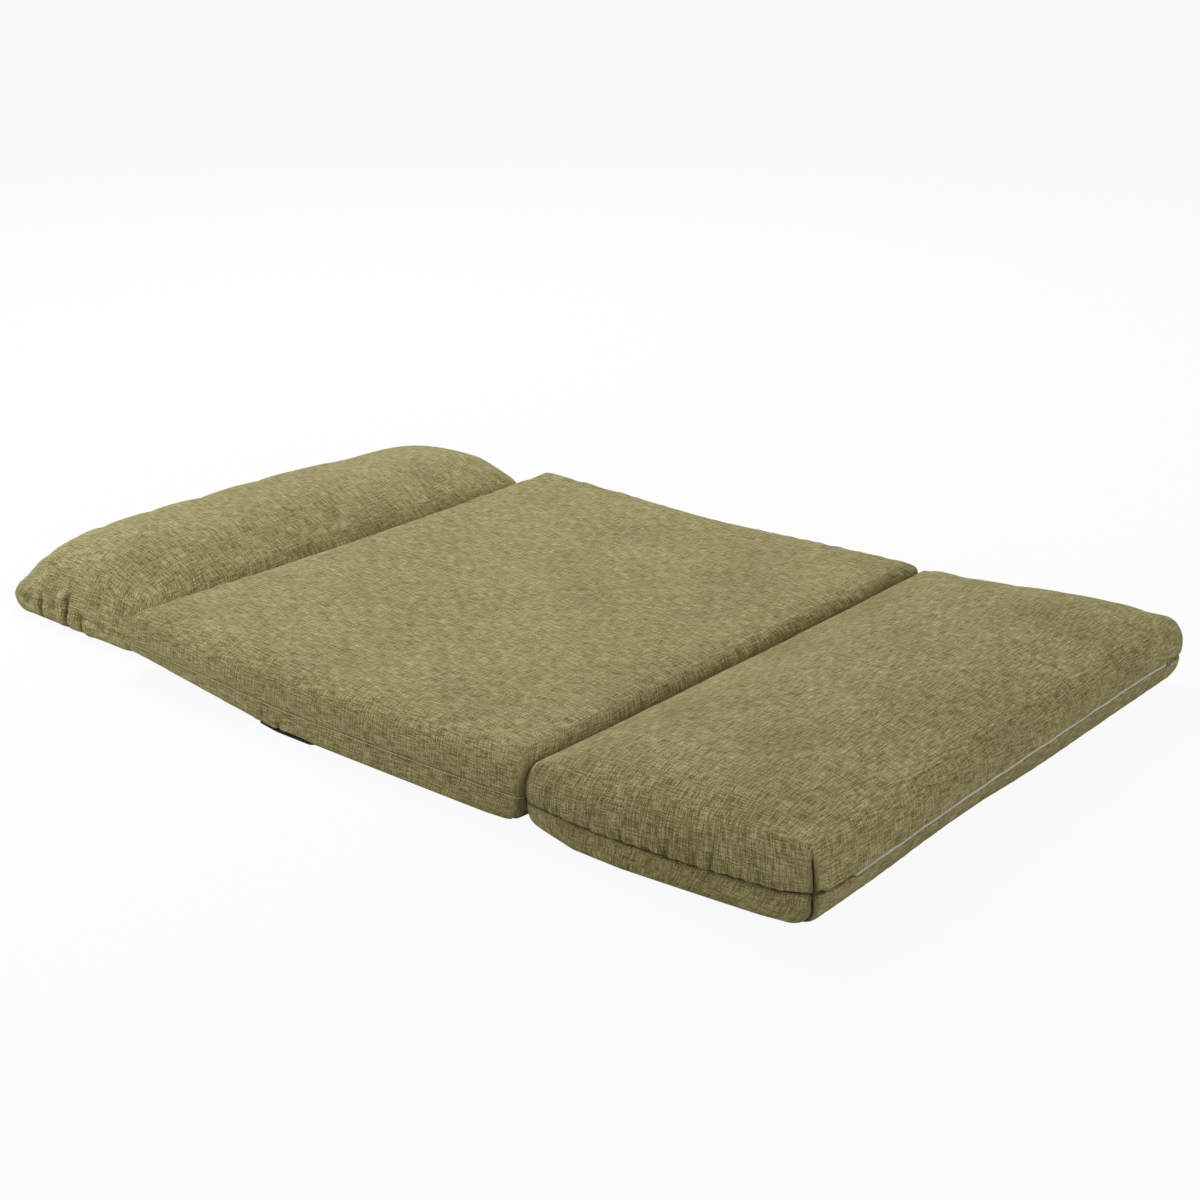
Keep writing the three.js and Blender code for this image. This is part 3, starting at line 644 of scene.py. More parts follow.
class Nodes:
    """Builds the node tree of a material or a world."""

    def __init__(self, owner):
        owner.use_nodes = True
        self.owner = owner
        self.tree = owner.node_tree
        self.shader = self.tree.nodes.get("Principled BSDF")

    def feed(self, socket, value):
        """Links the value to the socket, or sets it there."""
        if isinstance(value, bpy.types.NodeSocket):
            self.tree.links.new(value, socket)
        else:
            socket.default_value = value

    def add(self, kind, values=None, **settings):
        node = self.tree.nodes.new(kind)
        for label, value in settings.items():
            setattr(node, label, value)
        for label, value in (values or {}).items():
            self.feed(node.inputs[label], value)
        return node

    def math(self, operation, first, second=0.0, third=0.0):
        values = {0: first, 1: second, 2: third}
        return self.add("ShaderNodeMath", values, operation=operation).outputs[0]

    def span(self, value, low, high, to_low=0.0, to_high=1.0):
        ends = {"From Min": low, "From Max": high, "To Min": to_low, "To Max": to_high}
        return self.add("ShaderNodeMapRange", {"Value": value, **ends}).outputs[0]

    def mix(self, share, first, second):
        values = {0: share, 6: first, 7: second}
        return self.add("ShaderNodeMix", values, data_type="RGBA").outputs[2]

    def place(self):
        return self.add("ShaderNodeTexCoord").outputs["Object"]

    def noise(self, vector, scale, detail=2.0, roughness=0.5):
        mapped = self.add("ShaderNodeMapping", {"Vector": vector, "Scale": scale}).outputs[0]
        settings = {"Vector": mapped, "Scale": 1.0, "Detail": detail, "Roughness": roughness}
        return self.add("ShaderNodeTexNoise", settings).outputs[0]

    def shade(self, fine, share, coarse, dark, colour):
        """Between two colours, by a fine and a coarse noise."""
        tone = self.math("MULTIPLY_ADD", fine, share, self.math("MULTIPLY", coarse, 1 - share))
        return self.mix(self.span(tone, 0.35, 0.65), dark, colour)

    def relief(self, height, strength, distance):
        values = {"Height": height, "Strength": strength, "Distance": distance}
        return self.add("ShaderNodeBump", values).outputs[0]

    def mix_shaders(self, share, first, second):
        values = {0: share, 1: first.outputs[0], 2: second.outputs[0]}
        return self.add("ShaderNodeMixShader", values).outputs[0]

    def set(self, **values):
        for label, value in values.items():
            self.feed(self.shader.inputs[label.replace("_", " ")], value)


def material(name):
    return Nodes(bpy.data.materials.new(name))


def srgb(red, green, blue):
    """A screen colour of 0 to 255 as the linear colour that nodes use."""
    shares = [c / 255 for c in (red, green, blue)]
    linear = [((c + 0.055) / 1.055) ** 2.4 if c > 0.04 else c / 12.92 for c in shares]
    return (*linear, 1.0)


# The threads' relief, in radians a metre.
THREAD_WAVES = 3900.0


def weave_material():
    """Olive linen-look chenille: crisp uneven threads both ways, mottling, a soft sheen, and painted shade
    that darkens it in its folds and seams.
    """
    look = material("olive_weave")
    cloth = look.add("ShaderNodeAttribute", attribute_name="threads").outputs["Vector"]
    tone = 0.0
    for weight, across, along in ((0.26, 760, 60), (0.34, 430, 34), (0.06, 250, 22)):
        for scale, share in (((across, along, 1), 1.15), ((along, across, 1), 0.9)):
            threads = look.span(look.noise(cloth, scale, 1.0, 0.6), 0.36, 0.64)
            tone = look.math("MULTIPLY_ADD", threads, weight * share, tone)
    height = tone
    for scale, detail, low, high, weight in (
        ((560, 560, 1), 1.0, 0.36, 0.64, 0.48),
        ((46, 14, 1), 3.0, 0.3, 0.7, 0.10),
        ((6, 4, 1), 3.0, 0.3, 0.7, 0.10),
    ):
        patches = look.span(look.noise(cloth, scale, detail), low, high)
        tone = look.math("MULTIPLY_ADD", patches, weight, tone)
    ramp = look.add("ShaderNodeValToRGB", {0: look.span(tone, 0.45, 1.51)})
    ramp.color_ramp.elements[0].color = srgb(78, 67, 24)
    ramp.color_ramp.elements[1].color = srgb(196, 188, 146)
    for place, colour in ((0.38, (129, 119, 72)), (0.62, (152, 144, 101))):
        ramp.color_ramp.elements.new(place).color = srgb(*colour)
    # Painted shade: the colour darkens towards deep olive by the depth marked in the folds, seams, pleats
    # and slits.
    fold = look.add("ShaderNodeAttribute", attribute_name="fold").outputs["Fac"]
    depth = look.math("MULTIPLY", fold, 0.62)
    colour = look.mix(depth, ramp.outputs[0], srgb(58, 50, 20))
    split = look.add("ShaderNodeSeparateXYZ", {0: cloth})
    waves = [look.math("SINE", look.math("MULTIPLY", split.outputs[k], THREAD_WAVES))
             for k in (0, 1)]
    height = look.math("MULTIPLY_ADD", look.math("MULTIPLY", *waves), 0.25, height)
    look.set(Base_Color=colour, Roughness=0.92, Normal=look.relief(height, 0.7, 0.0008))
    look.set(Specular_IOR_Level=0.2, Sheen_Weight=0.20, Sheen_Roughness=0.45)
    look.set(Sheen_Tint=srgb(222, 216, 172))
    return look.owner


def plain_cloth(name, colour, dark, thread, roughness=0.9):
    """A fine even cloth, for linings, tapes and strips."""
    look = material(name)
    place = look.place()
    fibres = look.noise(place, (thread, thread * 0.2, thread), 3.0)
    patches = look.noise(place, (18, 18, 18), 2.0)
    shade = look.shade(fibres, 0.7, patches, dark, colour)
    relief = look.relief(fibres, 0.4, 0.0004)
    look.set(Base_Color=shade, Roughness=roughness, Normal=relief)
    return look.owner


def foam_material():
    look = material("cream_foam")
    # The cells' hollows lie lower in the relief and are painted darker: painted shade in the pores.
    cells = look.add("ShaderNodeTexVoronoi", {"Vector": look.place(), "Scale": 420.0})
    depth = cells.outputs["Distance"]
    shade = look.mix(look.span(depth, 0.1, 0.7), srgb(196, 184, 140), srgb(236, 228, 202))
    look.set(Base_Color=shade, Roughness=0.95, Normal=look.relief(depth, 0.5, 0.001))
    return look.owner


def metal_material(name, colour, dark, metallic, roughness):
    look = material(name)
    place = look.place()
    brushing = look.noise(place, (900, 60, 900), 3.0)
    wear = look.noise(place, (30, 30, 30), 4.0)
    shade = look.shade(brushing, 0.4, wear, dark, colour)
    rough = look.span(wear, 0.3, 0.7, roughness - 0.08, roughness + 0.12)
    relief = look.relief(brushing, 0.15, 0.0002)
    look.set(Base_Color=shade, Roughness=rough, Metallic=metallic, Normal=relief)
    return look.owner


def make_materials():
    """The material of each slot: a cloth's tones, threads and roughness, a metal's tones, share of
    metal and roughness."""
    cloths = {
        "base_lining": ("black_lining", (30, 30, 31), (16, 16, 17), 900),
        "fibre_filling": ("white_fibre", (244, 243, 238), (214, 212, 204), 240),
        "strap_webbing": ("dark_webbing", (58, 59, 53), (36, 37, 33), 700),
        "zip_tape": ("cream_tape", (236, 233, 222), (206, 202, 188), 1300),
        "zip_coil": ("cream_coil", (240, 238, 230), (214, 210, 198), 500, 0.4),
    }
    metals = {
        "frame_steel": ("black_powder_coat", (44, 45, 47), (30, 31, 33), 0.2, 0.5),
        "zip_metal": ("zip_metal", (188, 190, 192), (150, 152, 155), 1.0, 0.3),
        "hinge_zinc": ("zinc_plate", (184, 187, 189), (140, 143, 147), 1.0, 0.4),
    }
    made = {"cover_weave": weave_material(), "foam": foam_material()}
    for maker, table in ((plain_cloth, cloths), (metal_material, metals)):
        for slot, (name, colour, dark, *rest) in table.items():
            made[slot] = maker(name, srgb(*colour), srgb(*dark), *rest)
    return made


materials = make_materials()


def dress(piece, slot):
    piece.data.materials.clear()
    piece.data.materials.append(materials[slot])


def dress_nodes():
    """Every node that is kept takes the material of its own slot."""
    for node in nodes.values():
        if node.hide_render or not node.data.materials:
            continue
        slot = node.data.materials[0].name.split(".")[0]
        if slot in materials:
            node.material_slots[0].material = materials[slot]


def dents(points, table):
    """How far the cloth stands out at small places, each with its centre, its reach each way and
    its height."""
    amount = np.zeros(len(points))
    for centre, reach, height in table:
        away = ((points - np.array(centre)) / np.array(reach)) ** 2
        amount += height * np.exp(-away.sum(1))
    return amount


def front_dents(front, depth, rows):
    """Dents in a cushion's front, each row with its place along X, its height, its reach along and
    up, and how far it stands out. All reach that deep."""
    return [((x, front, z), (along, depth, up), out) for x, z, along, up, out in rows]


def tube(line, up, sizes, sides=6):
    """The points and faces of a closed tube along a line, its radius at each point in sizes."""
    along = np.gradient(line, axis=0)
    side = np.cross(along, up)
    side /= np.linalg.norm(side, axis=1)[:, None]
    up = np.cross(side, along)
    up /= np.linalg.norm(up, axis=1)[:, None]
    angle = 2 * math.pi * np.arange(sides) / sides
    around = np.cos(angle)[:, None] * up[:, None] + np.sin(angle)[:, None] * side[:, None]
    points = (line[:, None] + sizes[:, None, None] * around).reshape(-1, 3)
    index = np.arange(len(line) * sides).reshape(len(line), sides)
    faces = quads(np.column_stack([index, index[:, 0]])).tolist()
    return points, faces + [index[0, ::-1].tolist(), index[-1].tolist()]


def stitches(name, row, out, length=0.0050, pitch=0.0058, radius=0.0009):
    """Short threads laid end to end along a closed seam."""
    line, outward = (np.vstack([ring, ring[:1]]) for ring in (row, out))
    reach = np.concatenate([[0], np.cumsum(np.linalg.norm(np.diff(line, axis=0), axis=1))])
    count = int(reach[-1] / pitch)
    all_points, all_faces, start = [], [], 0
    for k in range(count):
        ways = (k + 0.5) * reach[-1] / count + np.array([-0.5, -0.35, 0.35, 0.5]) * length
        middle, up = (np.column_stack([np.interp(ways, reach, column) for column in ring.T])
                      for ring in (line, outward))
        sizes = np.array([0.35, 1.0, 1.0, 0.35]) * radius
        points, faces = tube(middle + up * radius * 1.8, up, sizes)
        all_points.append(points)
        all_faces += [[start + corner for corner in face] for face in faces]
        start += len(points)
    return make_piece(name, np.vstack(all_points), all_faces)


def cloth_strip(name, grid, slot, thickness=SHEET_THICKNESS):
    """A thin cloth over a grid of points."""
    index = np.arange(grid.shape[0] * grid.shape[1]).reshape(grid.shape[:2])
    flat = grid.reshape(-1, 3)
    piece = make_piece(name, flat, quads(index).tolist(), {"threads": flat})
    solid = piece.modifiers.new("Thick", "SOLIDIFY")
    solid.thickness = thickness
    solid.offset = 0
    apply_modifiers(piece)
    dress(piece, slot)
    return piece


def base_grid(form, height=0.0008, inset=0.0, lifts=()):
    """A flat grid of points inside the hem of a cushion."""
    ring, _ = outline(form, *(form.steps[1][:3] + inset), form.steps[1][4])
    grid = patch(form, ring) + form.centre
    grid = np.dstack([grid, np.full(grid.shape[:2], height)])
    return lifted(grid.reshape(-1, 3), lifts).reshape(grid.shape)


def filling(name, net, points, depth, node, body, slot, layer=0):
    """The padding inside a cover, its surface depth inside the cloth: a closed body, or a layer of
    its own thickness over the top and its edge."""
    if layer:
        piece, _ = net.piece(name, points, first=net.seam_row + 2)
    else:
        under = patch(net.form, points[:net.columns])[1:-1, 1:-1].reshape(-1, 3)
        base = net.grid_faces(0, len(points))[:, ::-1]
        faces = np.vstack([net.side_faces(0, len(net.rows) - 1), net.top_faces(), base])
        piece = make_piece(name, np.vstack([points, under]), faces.tolist())
    count = len(piece.data.vertices)
    tucked = np.resize(net.corner[-count:] if layer else net.corner, count)
    push(piece, -depth - 0.008 * bump(tucked, 0, 0.012))
    if layer:
        thick = piece.modifiers.new("Thick", "SOLIDIFY")
        thick.thickness = layer
        apply_modifiers(piece)
    dress(piece, slot)
    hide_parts(node)
    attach(piece, body)


# The slab.

# How far the bend reaches from the crease, and the fineness of the cuts in a filling there.
BEND_REACH = 0.12
CUT = 0.015

# Where the black lining shows below the front, and where the cover's edge rises over it.
LINING_SHOWN = ((-0.145, -0.135), (-0.020, -0.008))
EDGE_RAISED = ((-0.125, -0.095), (-0.045, -0.005))

# Small folds in the slab's front, by the crease.
SLAB_DENTS = front_dents(SLAB_FRONT, 0.03, [
    (-0.138, 0.020, 0.004, 0.014, -0.0035),
    (-0.147, 0.020, 0.006, 0.016, 0.0020),
    (-0.129, 0.018, 0.007, 0.014, 0.0012),
    (-0.0955, 0.011, 0.004, 0.012, -0.0040),
    (-0.105, 0.010, 0.006, 0.014, 0.0022),
    (-0.085, 0.008, 0.008, 0.014, 0.0014),
])


def bend_slab(piece):
    """The piece crosses the crease."""
    start, end = (CREASE_X + BEND_REACH, 0, 0), (CREASE_X - BEND_REACH, 0, 0)
    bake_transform(piece, "seat", "back", start=start, end=end)


def slab_cover():
    net = Net(SLAB)
    net.points = lifted(net.points, SLAB_LIFTS)
    piece, seam_start = net.piece("slab_cover_sewn", net.points)
    held = firmness(net, net.points, 0.012, 0.9, 0.075, 0.5)
    inflate(piece, held, cap=0.005, slack=0.018)
    subdivide(piece)
    shape_slab(piece)
    ring = slice(seam_start, seam_start + net.columns)
    seam_row, seam_out = places(piece)[ring], normals_of(piece)[ring]
    dress(piece, "cover_weave")
    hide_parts("seat_cover", "back_cover", "crease_cover")
    bend_slab(piece)
    return seam_row, seam_out


def shape_slab(piece):
    cloth, seam, corner = cloth_ways(piece)
    points = places(piece)
    near_seam = bump(seam, 0.012, 0.012) + bump(seam, -0.012, 0.012)
    amount = -0.0022 * bump(seam, 0, 0.0030)
    amount += 0.0009 * (wander(cloth, (0.016, 0.03), 3) * near_seam)
    amount += 0.0012 * wander(cloth, (0.16, 0.16), 7) * smooth_step(points[:, 2], 0.03, 0.08)
    amount -= 0.0016 * bump(corner, 0, 0.0018) * smooth_step(-seam, -0.002, 0.004)
    press_with_painted_shade(piece, amount + dents(points, SLAB_DENTS))
    points = places(piece)
    low_front = (points[:, 1] < SLAB_FRONT + 0.02) * np.clip(1 - points[:, 2] / 0.03, 0, 1)
    points[:, 2] += 0.0030 * between(points[:, 0], *EDGE_RAISED) * low_front
    move_to(piece, points)


def soft_copy(node, bends=False):
    """A filling of the frame's own form, cut fine enough to follow the lifts and the bend, and
    trimmed to the rounded ends of its cover."""
    piece = nodes[node].copy()
    piece.data = nodes[node].data.copy()
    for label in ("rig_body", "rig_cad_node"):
        del piece[label]
    piece.name = f"{node}_soft"
    piece.parent = None
    bpy.context.scene.collection.objects.link(piece)
    shape = bmesh.new()
    shape.from_mesh(piece.data)
    low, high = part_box(node)
    cuts = list(np.arange(low.x + CUT * 3, high.x, CUT * 3))
    if bends:
        start, end = max(low.x, CREASE_X - BEND_REACH), min(high.x, CREASE_X + BEND_REACH)
        cuts += list(np.arange(start + CUT, end, CUT))
    for x in cuts:
        geometry = shape.verts[:] + shape.edges[:] + shape.faces[:]
        bmesh.ops.bisect_plane(shape, geom=geometry, plane_co=(x, 0, 0), plane_no=(1, 0, 0))
    shape.to_mesh(piece.data)
    shape.free()
    points = lifted(places(piece), SLAB_LIFTS)
    rounding = np.maximum(0.03 - points[:, 2], 0)
    inner = BACK_LOW.x + 0.010 + 0.8 * rounding, SEAT_HIGH.x - 0.008 - 0.5 * rounding
    points[:, 0] = np.clip(points[:, 0], *inner)
    move_to(piece, points)
    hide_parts(node)
    return piece


def make_slab():
    for node in ("seat_foam", "back_foam", "crease_foam"):
        bend_slab(soft_copy(node, bends=True))
    for body in ("seat", "back"):
        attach(soft_copy(f"{body}_base_pad"), body)
    thread = stitches("slab_seam_thread", *slab_cover())
    dress(thread, "cover_weave")
    thread.data.materials[0] = plain_cloth(
        "seam_thread", srgb(218, 210, 166), srgb(190, 182, 138), 2000)
    bend_slab(thread)
    grid = base_grid(SLAB, 0.0009, 0.002, SLAB_LIFTS)
    x, y = grid[:, :, 0], grid[:, :, 1]
    y -= 0.0075 * (between(x, *LINING_SHOWN) * (y < SLAB_FRONT + 0.006))
    lining = cloth_strip("slab_lining_cloth", grid, "base_lining")
    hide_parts("seat_lining", "back_lining")
    bend_slab(lining)


# The pillow.

# The pleats in the pillow's front, with the cloth swelling beside them, and its corner by the slab.
PILLOW_DENTS = front_dents(HEAD_LOW.y, 0.05, [
    (-0.812, 0.030, 0.0050, 0.020, -0.0080),
    (-0.826, 0.034, 0.010, 0.022, 0.0045),
    (-0.797, 0.030, 0.010, 0.020, 0.0035),
    (-0.735, 0.034, 0.0055, 0.030, -0.0100),
    (-0.752, 0.036, 0.011, 0.028, 0.0055),
    (-0.718, 0.030, 0.010, 0.022, 0.0045),
    (-0.690, 0.014, 0.0050, 0.018, -0.0075),
    (-0.670, 0.018, 0.012, 0.016, 0.0040),
]) + front_dents(HEAD_LOW.y, 0.03, [
    (-0.526, 0.078, 0.014, 0.012, 0.0130),
    (-0.551, 0.056, 0.009, 0.007, -0.0140),
])
# Where its top stands higher or lower than its form.
PILLOW_SWELLS = [
    ((-0.74, 0.49, 0.12), (0.13, 0.05, 0.08), 0.008),
    ((-0.80, 0.32, 0.14), (0.16, 0.13, 0.09), -0.011),
    ((-0.55, -0.45, 0.11), (0.08, 0.09, 0.08), -0.014),
]
# Where it reaches further back, beside the slab's corner.
PILLOW_REACHES = [
    ((-0.55, 0.52, 0.07), (0.08, 0.07, 0.06), 0.020),
]


def soft_corners(net):
    """The pillow's points with its four upper corners rounded off."""
    faces = np.vstack([net.side_faces(0, len(net.rows) - 1), net.top_faces()])
    inward = PILLOW.half - np.abs(net.points[:, :2] - PILLOW.centre)
    near = 1 - smooth_step(inward[:, 0], 0.05, 0.14)
    near *= 1 - smooth_step(inward[:, 1], 0.07, 0.20)
    return evened(net.points, faces, near * smooth_step(net.points[:, 2], 0.035, 0.070), 110)


def make_pillow():
    net = Net(PILLOW)
    net.points = soft_corners(net)
    net.points[:, 2] += dents(net.points, PILLOW_SWELLS)
    net.points[:, 1] += dents(net.points, PILLOW_REACHES)
    piece, _ = net.piece("pillow_cover_sewn", net.points)
    inflate(piece, firmness(net, net.points, 0.004, 0, 0.06, 0.3), cap=0.008, slack=0.03)
    filling("pillow_filling_soft", net, places(piece), 0.018,
            "head_filling", "pillow", "fibre_filling")
    subdivide(piece)
    cloth, seam, _ = cloth_ways(piece)
    gathers = wander(cloth, (0.022, 0.09), 5) - 0.5 * bump(wander(cloth, (0.05, 0.2), 37), 0, 0.13)
    gathers *= bump(seam, 0.028, 0.030)
    amount = -0.003 * bump(seam, 0, 0.004) + 0.0022 * wander(cloth, (0.12, 0.12), 11)
    press_with_painted_shade(piece, amount + 0.0018 * gathers + dents(places(piece), PILLOW_DENTS))
    dress(piece, "cover_weave")
    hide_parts("head_cover", "head_underside")
    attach(piece, "pillow")
    base = cloth_strip("pillow_base_cloth", base_grid(PILLOW), "cover_weave")
    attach(base, "pillow")


# The foot cushion.

# The hollow low in its outer end, and where its top lies lower than its form.
FOOT_DENTS = [
    ((BAND_HIGH.x - 0.03, -0.15, 0.008), (0.06, 0.16, 0.022), -0.006),
]
FOOT_SWELLS = [
    ((0.61, 0.53, 0.13), (0.13, 0.12, 0.08), -0.007),
]
SEAM_ALLOWANCE = 0.007

# The zip: its ends and height, the edges of the cloth beside it, and its coil and tapes.
ZIP_START, ZIP_END = COIL_LOW.y, COIL_HIGH.y
ZIP_LEVEL = (COIL_LOW.z + COIL_HIGH.z) / 2
LIP_X = BAND_HIGH.x - 0.0008
LIP_GAP = 0.0028
COIL_X = BAND_HIGH.x - 0.0020
COIL_PITCH = 0.0017
COIL_RADII = (0.0013, 1, 0.0019)
COIL_WIRE = 0.00045
TAPE_ROWS = ((0.0012, 0.0012), (0.0034, 0.004), (0.0052, 0.014))


def zip_level(y):
    """The height of the zip along the outer end."""
    bend = np.interp(y - BAND_LOW.y, END_SEAM_WAYS, END_SEAM_SHIFTS)
    return ZIP_LEVEL + bend + 0.0006 * np.sin(y * 61)


def zip_share(points):
    """1 along the zip, 0 elsewhere, smooth at its ends."""
    ends = (ZIP_START - 0.014, ZIP_START + 0.004), (ZIP_END, ZIP_END + 0.014)
    return between(points[:, 1], *ends) * (points[:, 0] > BAND_HIGH.x - 0.03)


def lip(net, points, side):
    """Parts the cloth along the zip, upwards or downwards."""
    points = points.copy()
    ring = slice(net.seam_row * net.columns, (net.seam_row + 1) * net.columns)
    share = zip_share(points[ring])
    y = points[ring, 1]
    gap = LIP_GAP + 0.0009 * np.sin(y * 47 + side) * (side > 0)
    points[ring, 0] += share * (LIP_X - points[ring, 0])
    points[ring, 2] += share * (zip_level(y) + side * gap - points[ring, 2])
    return points


def make_foot():
    net = Net(FOOT)
    points = shifted(net.points, FOOT.steps[FOOT.seam][3])
    level = points[:, 2]
    points = lifted(points, FOOT_LIFTS)
    near_end = smooth_step(points[:, 0], BAND_HIGH.x - 0.12, BAND_HIGH.x - 0.04)
    points[:, 0] += (points[:, 2] - level) * near_end
    points[:, 2] += dents(points, FOOT_SWELLS)
    whole, _ = net.piece("foot_cloth", points)
    inflate(whole, firmness(net, points, 0.004, 0.8, 0.06, 0.4), cap=0.007, slack=0.02)
    points = places(whole)
    bpy.data.objects.remove(whole)
    filling("foot_foam_soft", net, points, 0.012, "foot_foam", "foot", "foam")
    filling("foot_fibre_soft", net, points, 0.007,
            "foot_fibre_layer", "foot", "fibre_filling", layer=0.003)
    inward = -SEAM_ALLOWANCE * np.column_stack([net.normals, np.zeros(net.columns)])
    top, _ = net.piece("foot_top_sewn", lip(net, points, 1), first=net.seam_row, turned_in=inward)
    band, _ = net.piece(
        "foot_band_sewn", lip(net, points, -1), last=net.seam_row, turned_in=inward)
    for piece, node in ((top, "foot_cover"), (band, "foot_band")):
        subdivide(piece)
        shape_foot(piece)
        dress(piece, "cover_weave")
        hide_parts(node)
        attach(piece, "foot")
    base = cloth_strip("foot_base_cloth", base_grid(FOOT, lifts=FOOT_LIFTS), "cover_weave")
    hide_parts("foot_base_panel")
    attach(base, "foot")
    make_zip()


# The gathers above the seam, along the front and along the outer end: the place, depth and slant
# of each.
FRONT_PLEATS = [
    (0.476, 0.0022, 0.2), (0.503, 0.0030, -0.1), (0.531, 0.0016, 0.1), (0.556, 0.0034, 0.2),
    (0.588, 0.0024, 0.0), (0.615, 0.0036, 0.1), (0.640, 0.0018, -0.2), (0.664, 0.0030, 0.1),
    (0.694, 0.0038, 0.2), (0.717, 0.0020, 0.0), (0.746, 0.0034, -0.1), (0.772, 0.0040, 0.1),
    (0.799, 0.0022, 0.2), (0.823, 0.0032, 0.0), (0.851, 0.0020, 0.1), (0.876, 0.0028, -0.1),
]
END_PLEATS = [
    (y, 0.0022 + 0.0012 * math.sin(37 * y), 0.3 * math.sin(53 * y))
    for y in np.arange(-0.50, 0.50, 0.043)
]


def pleats(way, seam, table):
    """The dents of gathers that stand on a seam, with the cloth swelling between them."""
    amount = np.zeros(len(way))
    for k, (place, depth, slant) in enumerate(table):
        reach = 0.018 + 0.008 * math.sin(2.4 * k)
        away = way - place - slant * seam
        tall = np.exp(-((seam - 0.008) / np.where(seam > 0.008, reach * 1.5, 0.009)) ** 2)
        amount += (0.45 * bump(away, 0.010, 0.007) - bump(away, 0, 0.0045)) * depth * tall
        amount -= 0.4 * depth * bump(away, 0.004, 0.006) * bump(seam, -0.010, 0.008)
    return amount


def shape_foot(piece):
    cloth, seam, corner = cloth_ways(piece)
    points = places(piece)
    front = points[:, 1] < BAND_LOW.y + 0.03
    outer = points[:, 0] > BAND_HIGH.x - 0.03
    gathers = np.where(front, pleats(points[:, 0], seam, FRONT_PLEATS), 0)
    gathers += np.where(outer & ~front, 0.4 * pleats(points[:, 1], seam, END_PLEATS), 0)
    amount = -0.0050 * bump(seam, 0, 0.0022) * (1 - zip_share(points))
    amount += 0.0018 * wander(cloth, (0.14, 0.14), 17) * smooth_step(seam, 0.01, 0.03)
    amount += gathers + 0.0008 * wander(cloth, (0.03, 0.03), 41) * bump(seam, 0, 0.04)
    amount += dents(points, FOOT_DENTS)
    slit = 0.010 * bump(corner, 0, 0.0017) + 0.0025 * bump(corner, 0, 0.009)
    amount -= slit * (1 - smooth_step(seam, 0.050, 0.064))
    press_with_painted_shade(piece, amount, level=np.abs(seam) < 0.0004)


def make_zip():
    turns = round((ZIP_END - ZIP_START) / COIL_PITCH)
    angle = np.linspace(0, 2 * math.pi * turns, turns * 10 + 1)
    y = ZIP_START + (ZIP_END - ZIP_START) * angle / angle[-1]
    around = np.column_stack([np.cos(angle), np.zeros(len(angle)), np.sin(angle)])
    middle = np.column_stack([np.full(len(y), COIL_X), y, zip_level(y)])
    sizes = np.full(len(y), COIL_WIRE)
    coil = make_piece("zip_coil_wound", *tube(middle + around * COIL_RADII, around, sizes, 5))
    dress(coil, "zip_coil")
    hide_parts("zip_coil")
    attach(coil, "foot")
    y = np.arange(ZIP_START, ZIP_END + 0.004, 0.008)
    for name, side in (("upper", 1), ("lower", -1)):
        rows = [np.column_stack([np.full(len(y), COIL_X - inward), y, zip_level(y) + side * way])
                for inward, way in TAPE_ROWS]
        tape = cloth_strip(f"zip_tape_{name}_woven", np.array(rows), "zip_tape")
        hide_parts(f"zip_tape_{name}")
        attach(tape, "foot")


# The cloth strips on which the pillow and the foot cushion fold: how far each reaches from the fold
# line, and how near it the cloth bends.
STRIP_REACH = 0.044
STRIP_BEND = 0.004


def fold_strip(name, fold_x, bodies, replaced):
    """A strip under the fold line, from one cushion's flap to the other's."""
    far = np.linspace(STRIP_REACH, 0.005, 5)
    x = fold_x + np.concatenate([-far, np.arange(-STRIP_BEND, 0.0045, 0.001), far[::-1]])
    ends = [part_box(node) for node in replaced]
    y = np.linspace(max(low.y for low, _ in ends), min(high.y for _, high in ends), 60)
    flat = np.meshgrid(x, y, indexing="ij")
    grid = np.dstack([*flat, np.full((len(x), len(y)), 0.0006)])
    strip = cloth_strip(name, grid, "cover_weave", thickness=0.0010)
    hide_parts(*replaced)
    way = -STRIP_BEND if bodies[1] == "foot" else STRIP_BEND
    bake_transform(strip, *bodies, start=(fold_x + way, 0, 0), end=(fold_x - way, 0, 0))
    flat = (2 * STRIP_REACH, y[-1] - y[0])


# The stage: floor, light and camera.

FLOOR_REACH = 60
FLOOR_LEVEL = -0.0005
CAMERA_PLACE = (2.17195, -2.462, 1.3295)
CAMERA_PITCH, CAMERA_YAW = 20.71, 39.89
CAMERA_LENS = 59.325


def pale_floor():
    """A wide white floor that keeps the shadow. The camera sees it a little brighter."""
    corners = FLOOR_REACH * np.array([(-1, -1, 0), (1, -1, 0), (1, 1, 0), (-1, 1, 0)])
    floor = make_piece("floor", corners, [(0, 1, 2, 3)])
    floor.location.z = FLOOR_LEVEL
    look = material("pale_floor")
    look.set(Base_Color=(0.72, 0.72, 0.72, 1), Roughness=0.9, Specular_IOR_Level=0.1)
    seen = look.add("ShaderNodeLightPath").outputs["Is Camera Ray"]
    white = look.add("ShaderNodeEmission", {"Strength": 1.0})
    mixed = look.mix_shaders(look.math("MULTIPLY", seen, 0.93), look.shader, white)
    look.feed(look.tree.nodes["Material Output"].inputs["Surface"], mixed)
    floor.data.materials.append(look.owner)


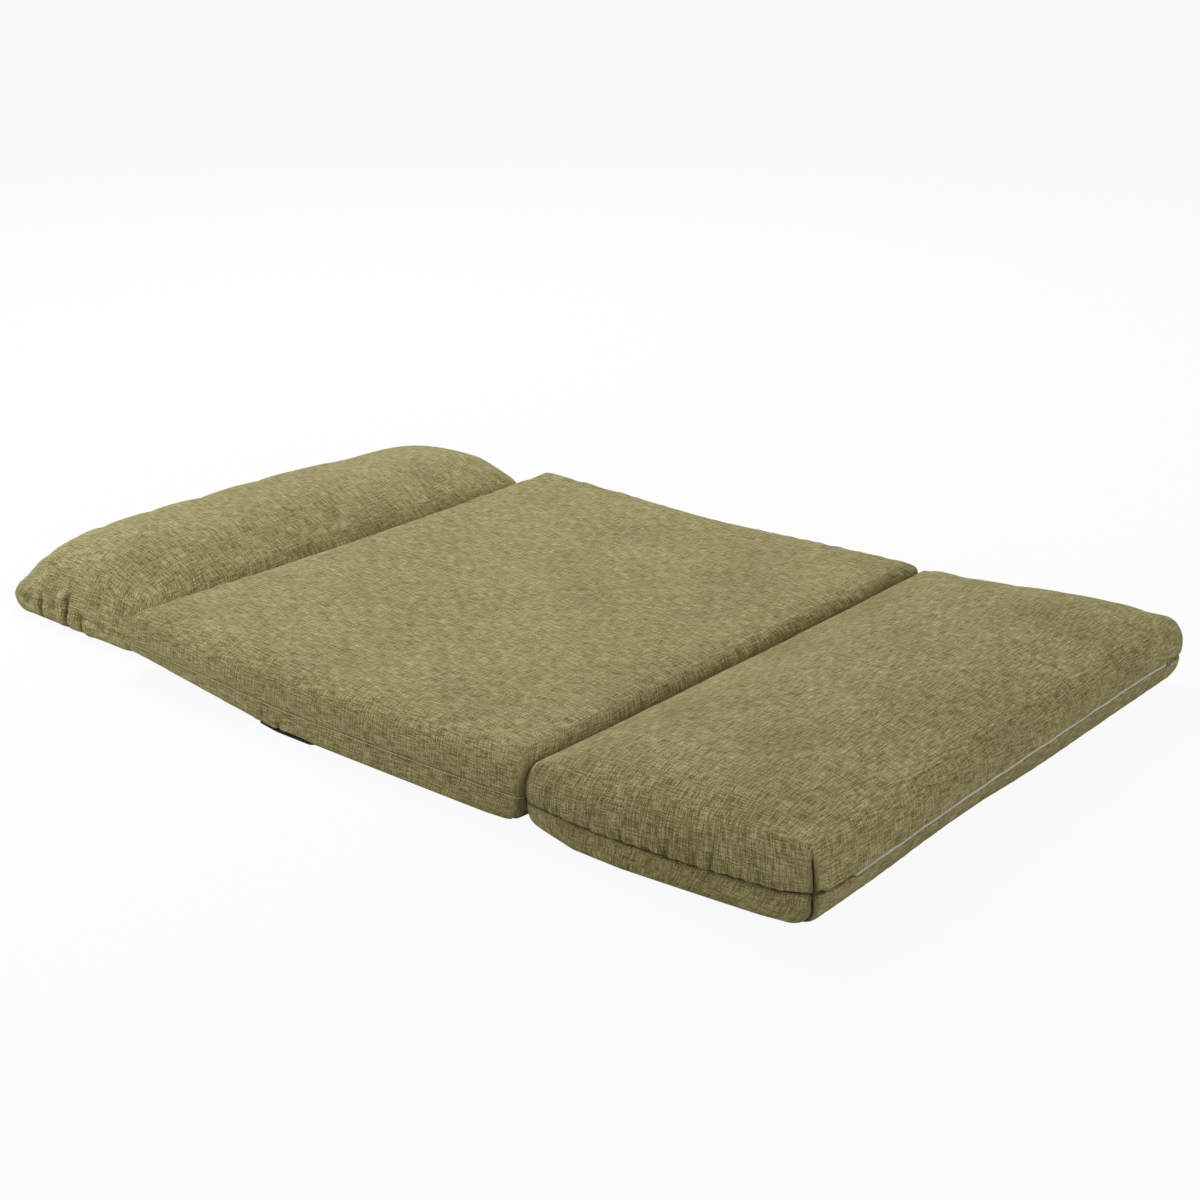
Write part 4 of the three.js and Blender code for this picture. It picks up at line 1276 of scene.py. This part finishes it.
def white_world(strength, tint):
    """An even light of that tint, which the camera, gloss and glass see as plain white."""
    world = bpy.data.worlds.new("studio")
    bpy.context.scene.world = world
    look = Nodes(world)
    look.tree.nodes.clear()
    path = look.add("ShaderNodeLightPath").outputs
    shining = look.math("MAXIMUM", path["Is Glossy Ray"], path["Is Transmission Ray"])
    seen = look.math("MAXIMUM", path["Is Camera Ray"], shining)
    fill = look.add("ShaderNodeBackground", {"Strength": strength, "Color": tint})
    white = look.add("ShaderNodeBackground", {"Strength": 1.0, "Color": (1, 1, 1, 1)})
    look.add("ShaderNodeOutputWorld", {0: look.mix_shaders(seen, fill, white)})


def lamp(name, kind, place, strength, size, aim=(0, 0, 0)):
    """A sun or a square area lamp that shines from its place to its aim."""
    data = bpy.data.lights.new(name, kind)
    data.energy = strength
    if kind == "SUN":
        data.angle = size
    else:
        data.size = size
    shining = bpy.data.objects.new(name, data)
    bpy.context.scene.collection.objects.link(shining)
    shining.location = place
    shining.rotation_euler = (Vector(place) - Vector(aim)).to_track_quat("Z", "Y").to_euler()


def make_stage():
    pale_floor()
    white_world(0.29, (1.0, 0.965, 0.86, 1.0))
    lamp("key", "AREA", (-2.6, 1.7, 4.4), 196, 3.2)
    lamp("front", "AREA", (-1.6, -1.9, 0.9), 18, 0.8, aim=(-0.5, -0.5, 0.05))
    lamp("side", "SUN", (1.0, -0.12, 0.5), 0.98, math.radians(40))
    data = bpy.data.cameras.new("camera")
    data.lens = CAMERA_LENS
    camera = bpy.data.objects.new("camera", data)
    bpy.context.scene.collection.objects.link(camera)
    camera.location = CAMERA_PLACE
    camera.rotation_euler = (math.radians(90 - CAMERA_PITCH), 0, math.radians(CAMERA_YAW))
    bpy.context.scene.camera = camera
    bpy.context.scene.view_settings.view_transform = "Standard"


make_stage()
make_slab()
make_pillow()
make_foot()
fold_strip("pillow_fold_strip", PILLOW_FOLD_X, ("back", "pillow"),
           ("back_fold_flap", "head_fold_flap"))
fold_strip("foot_fold_strip", FOOT_FOLD_X, ("seat", "foot"),
           ("seat_fold_flap", "foot_fold_flap"))
dress_nodes()
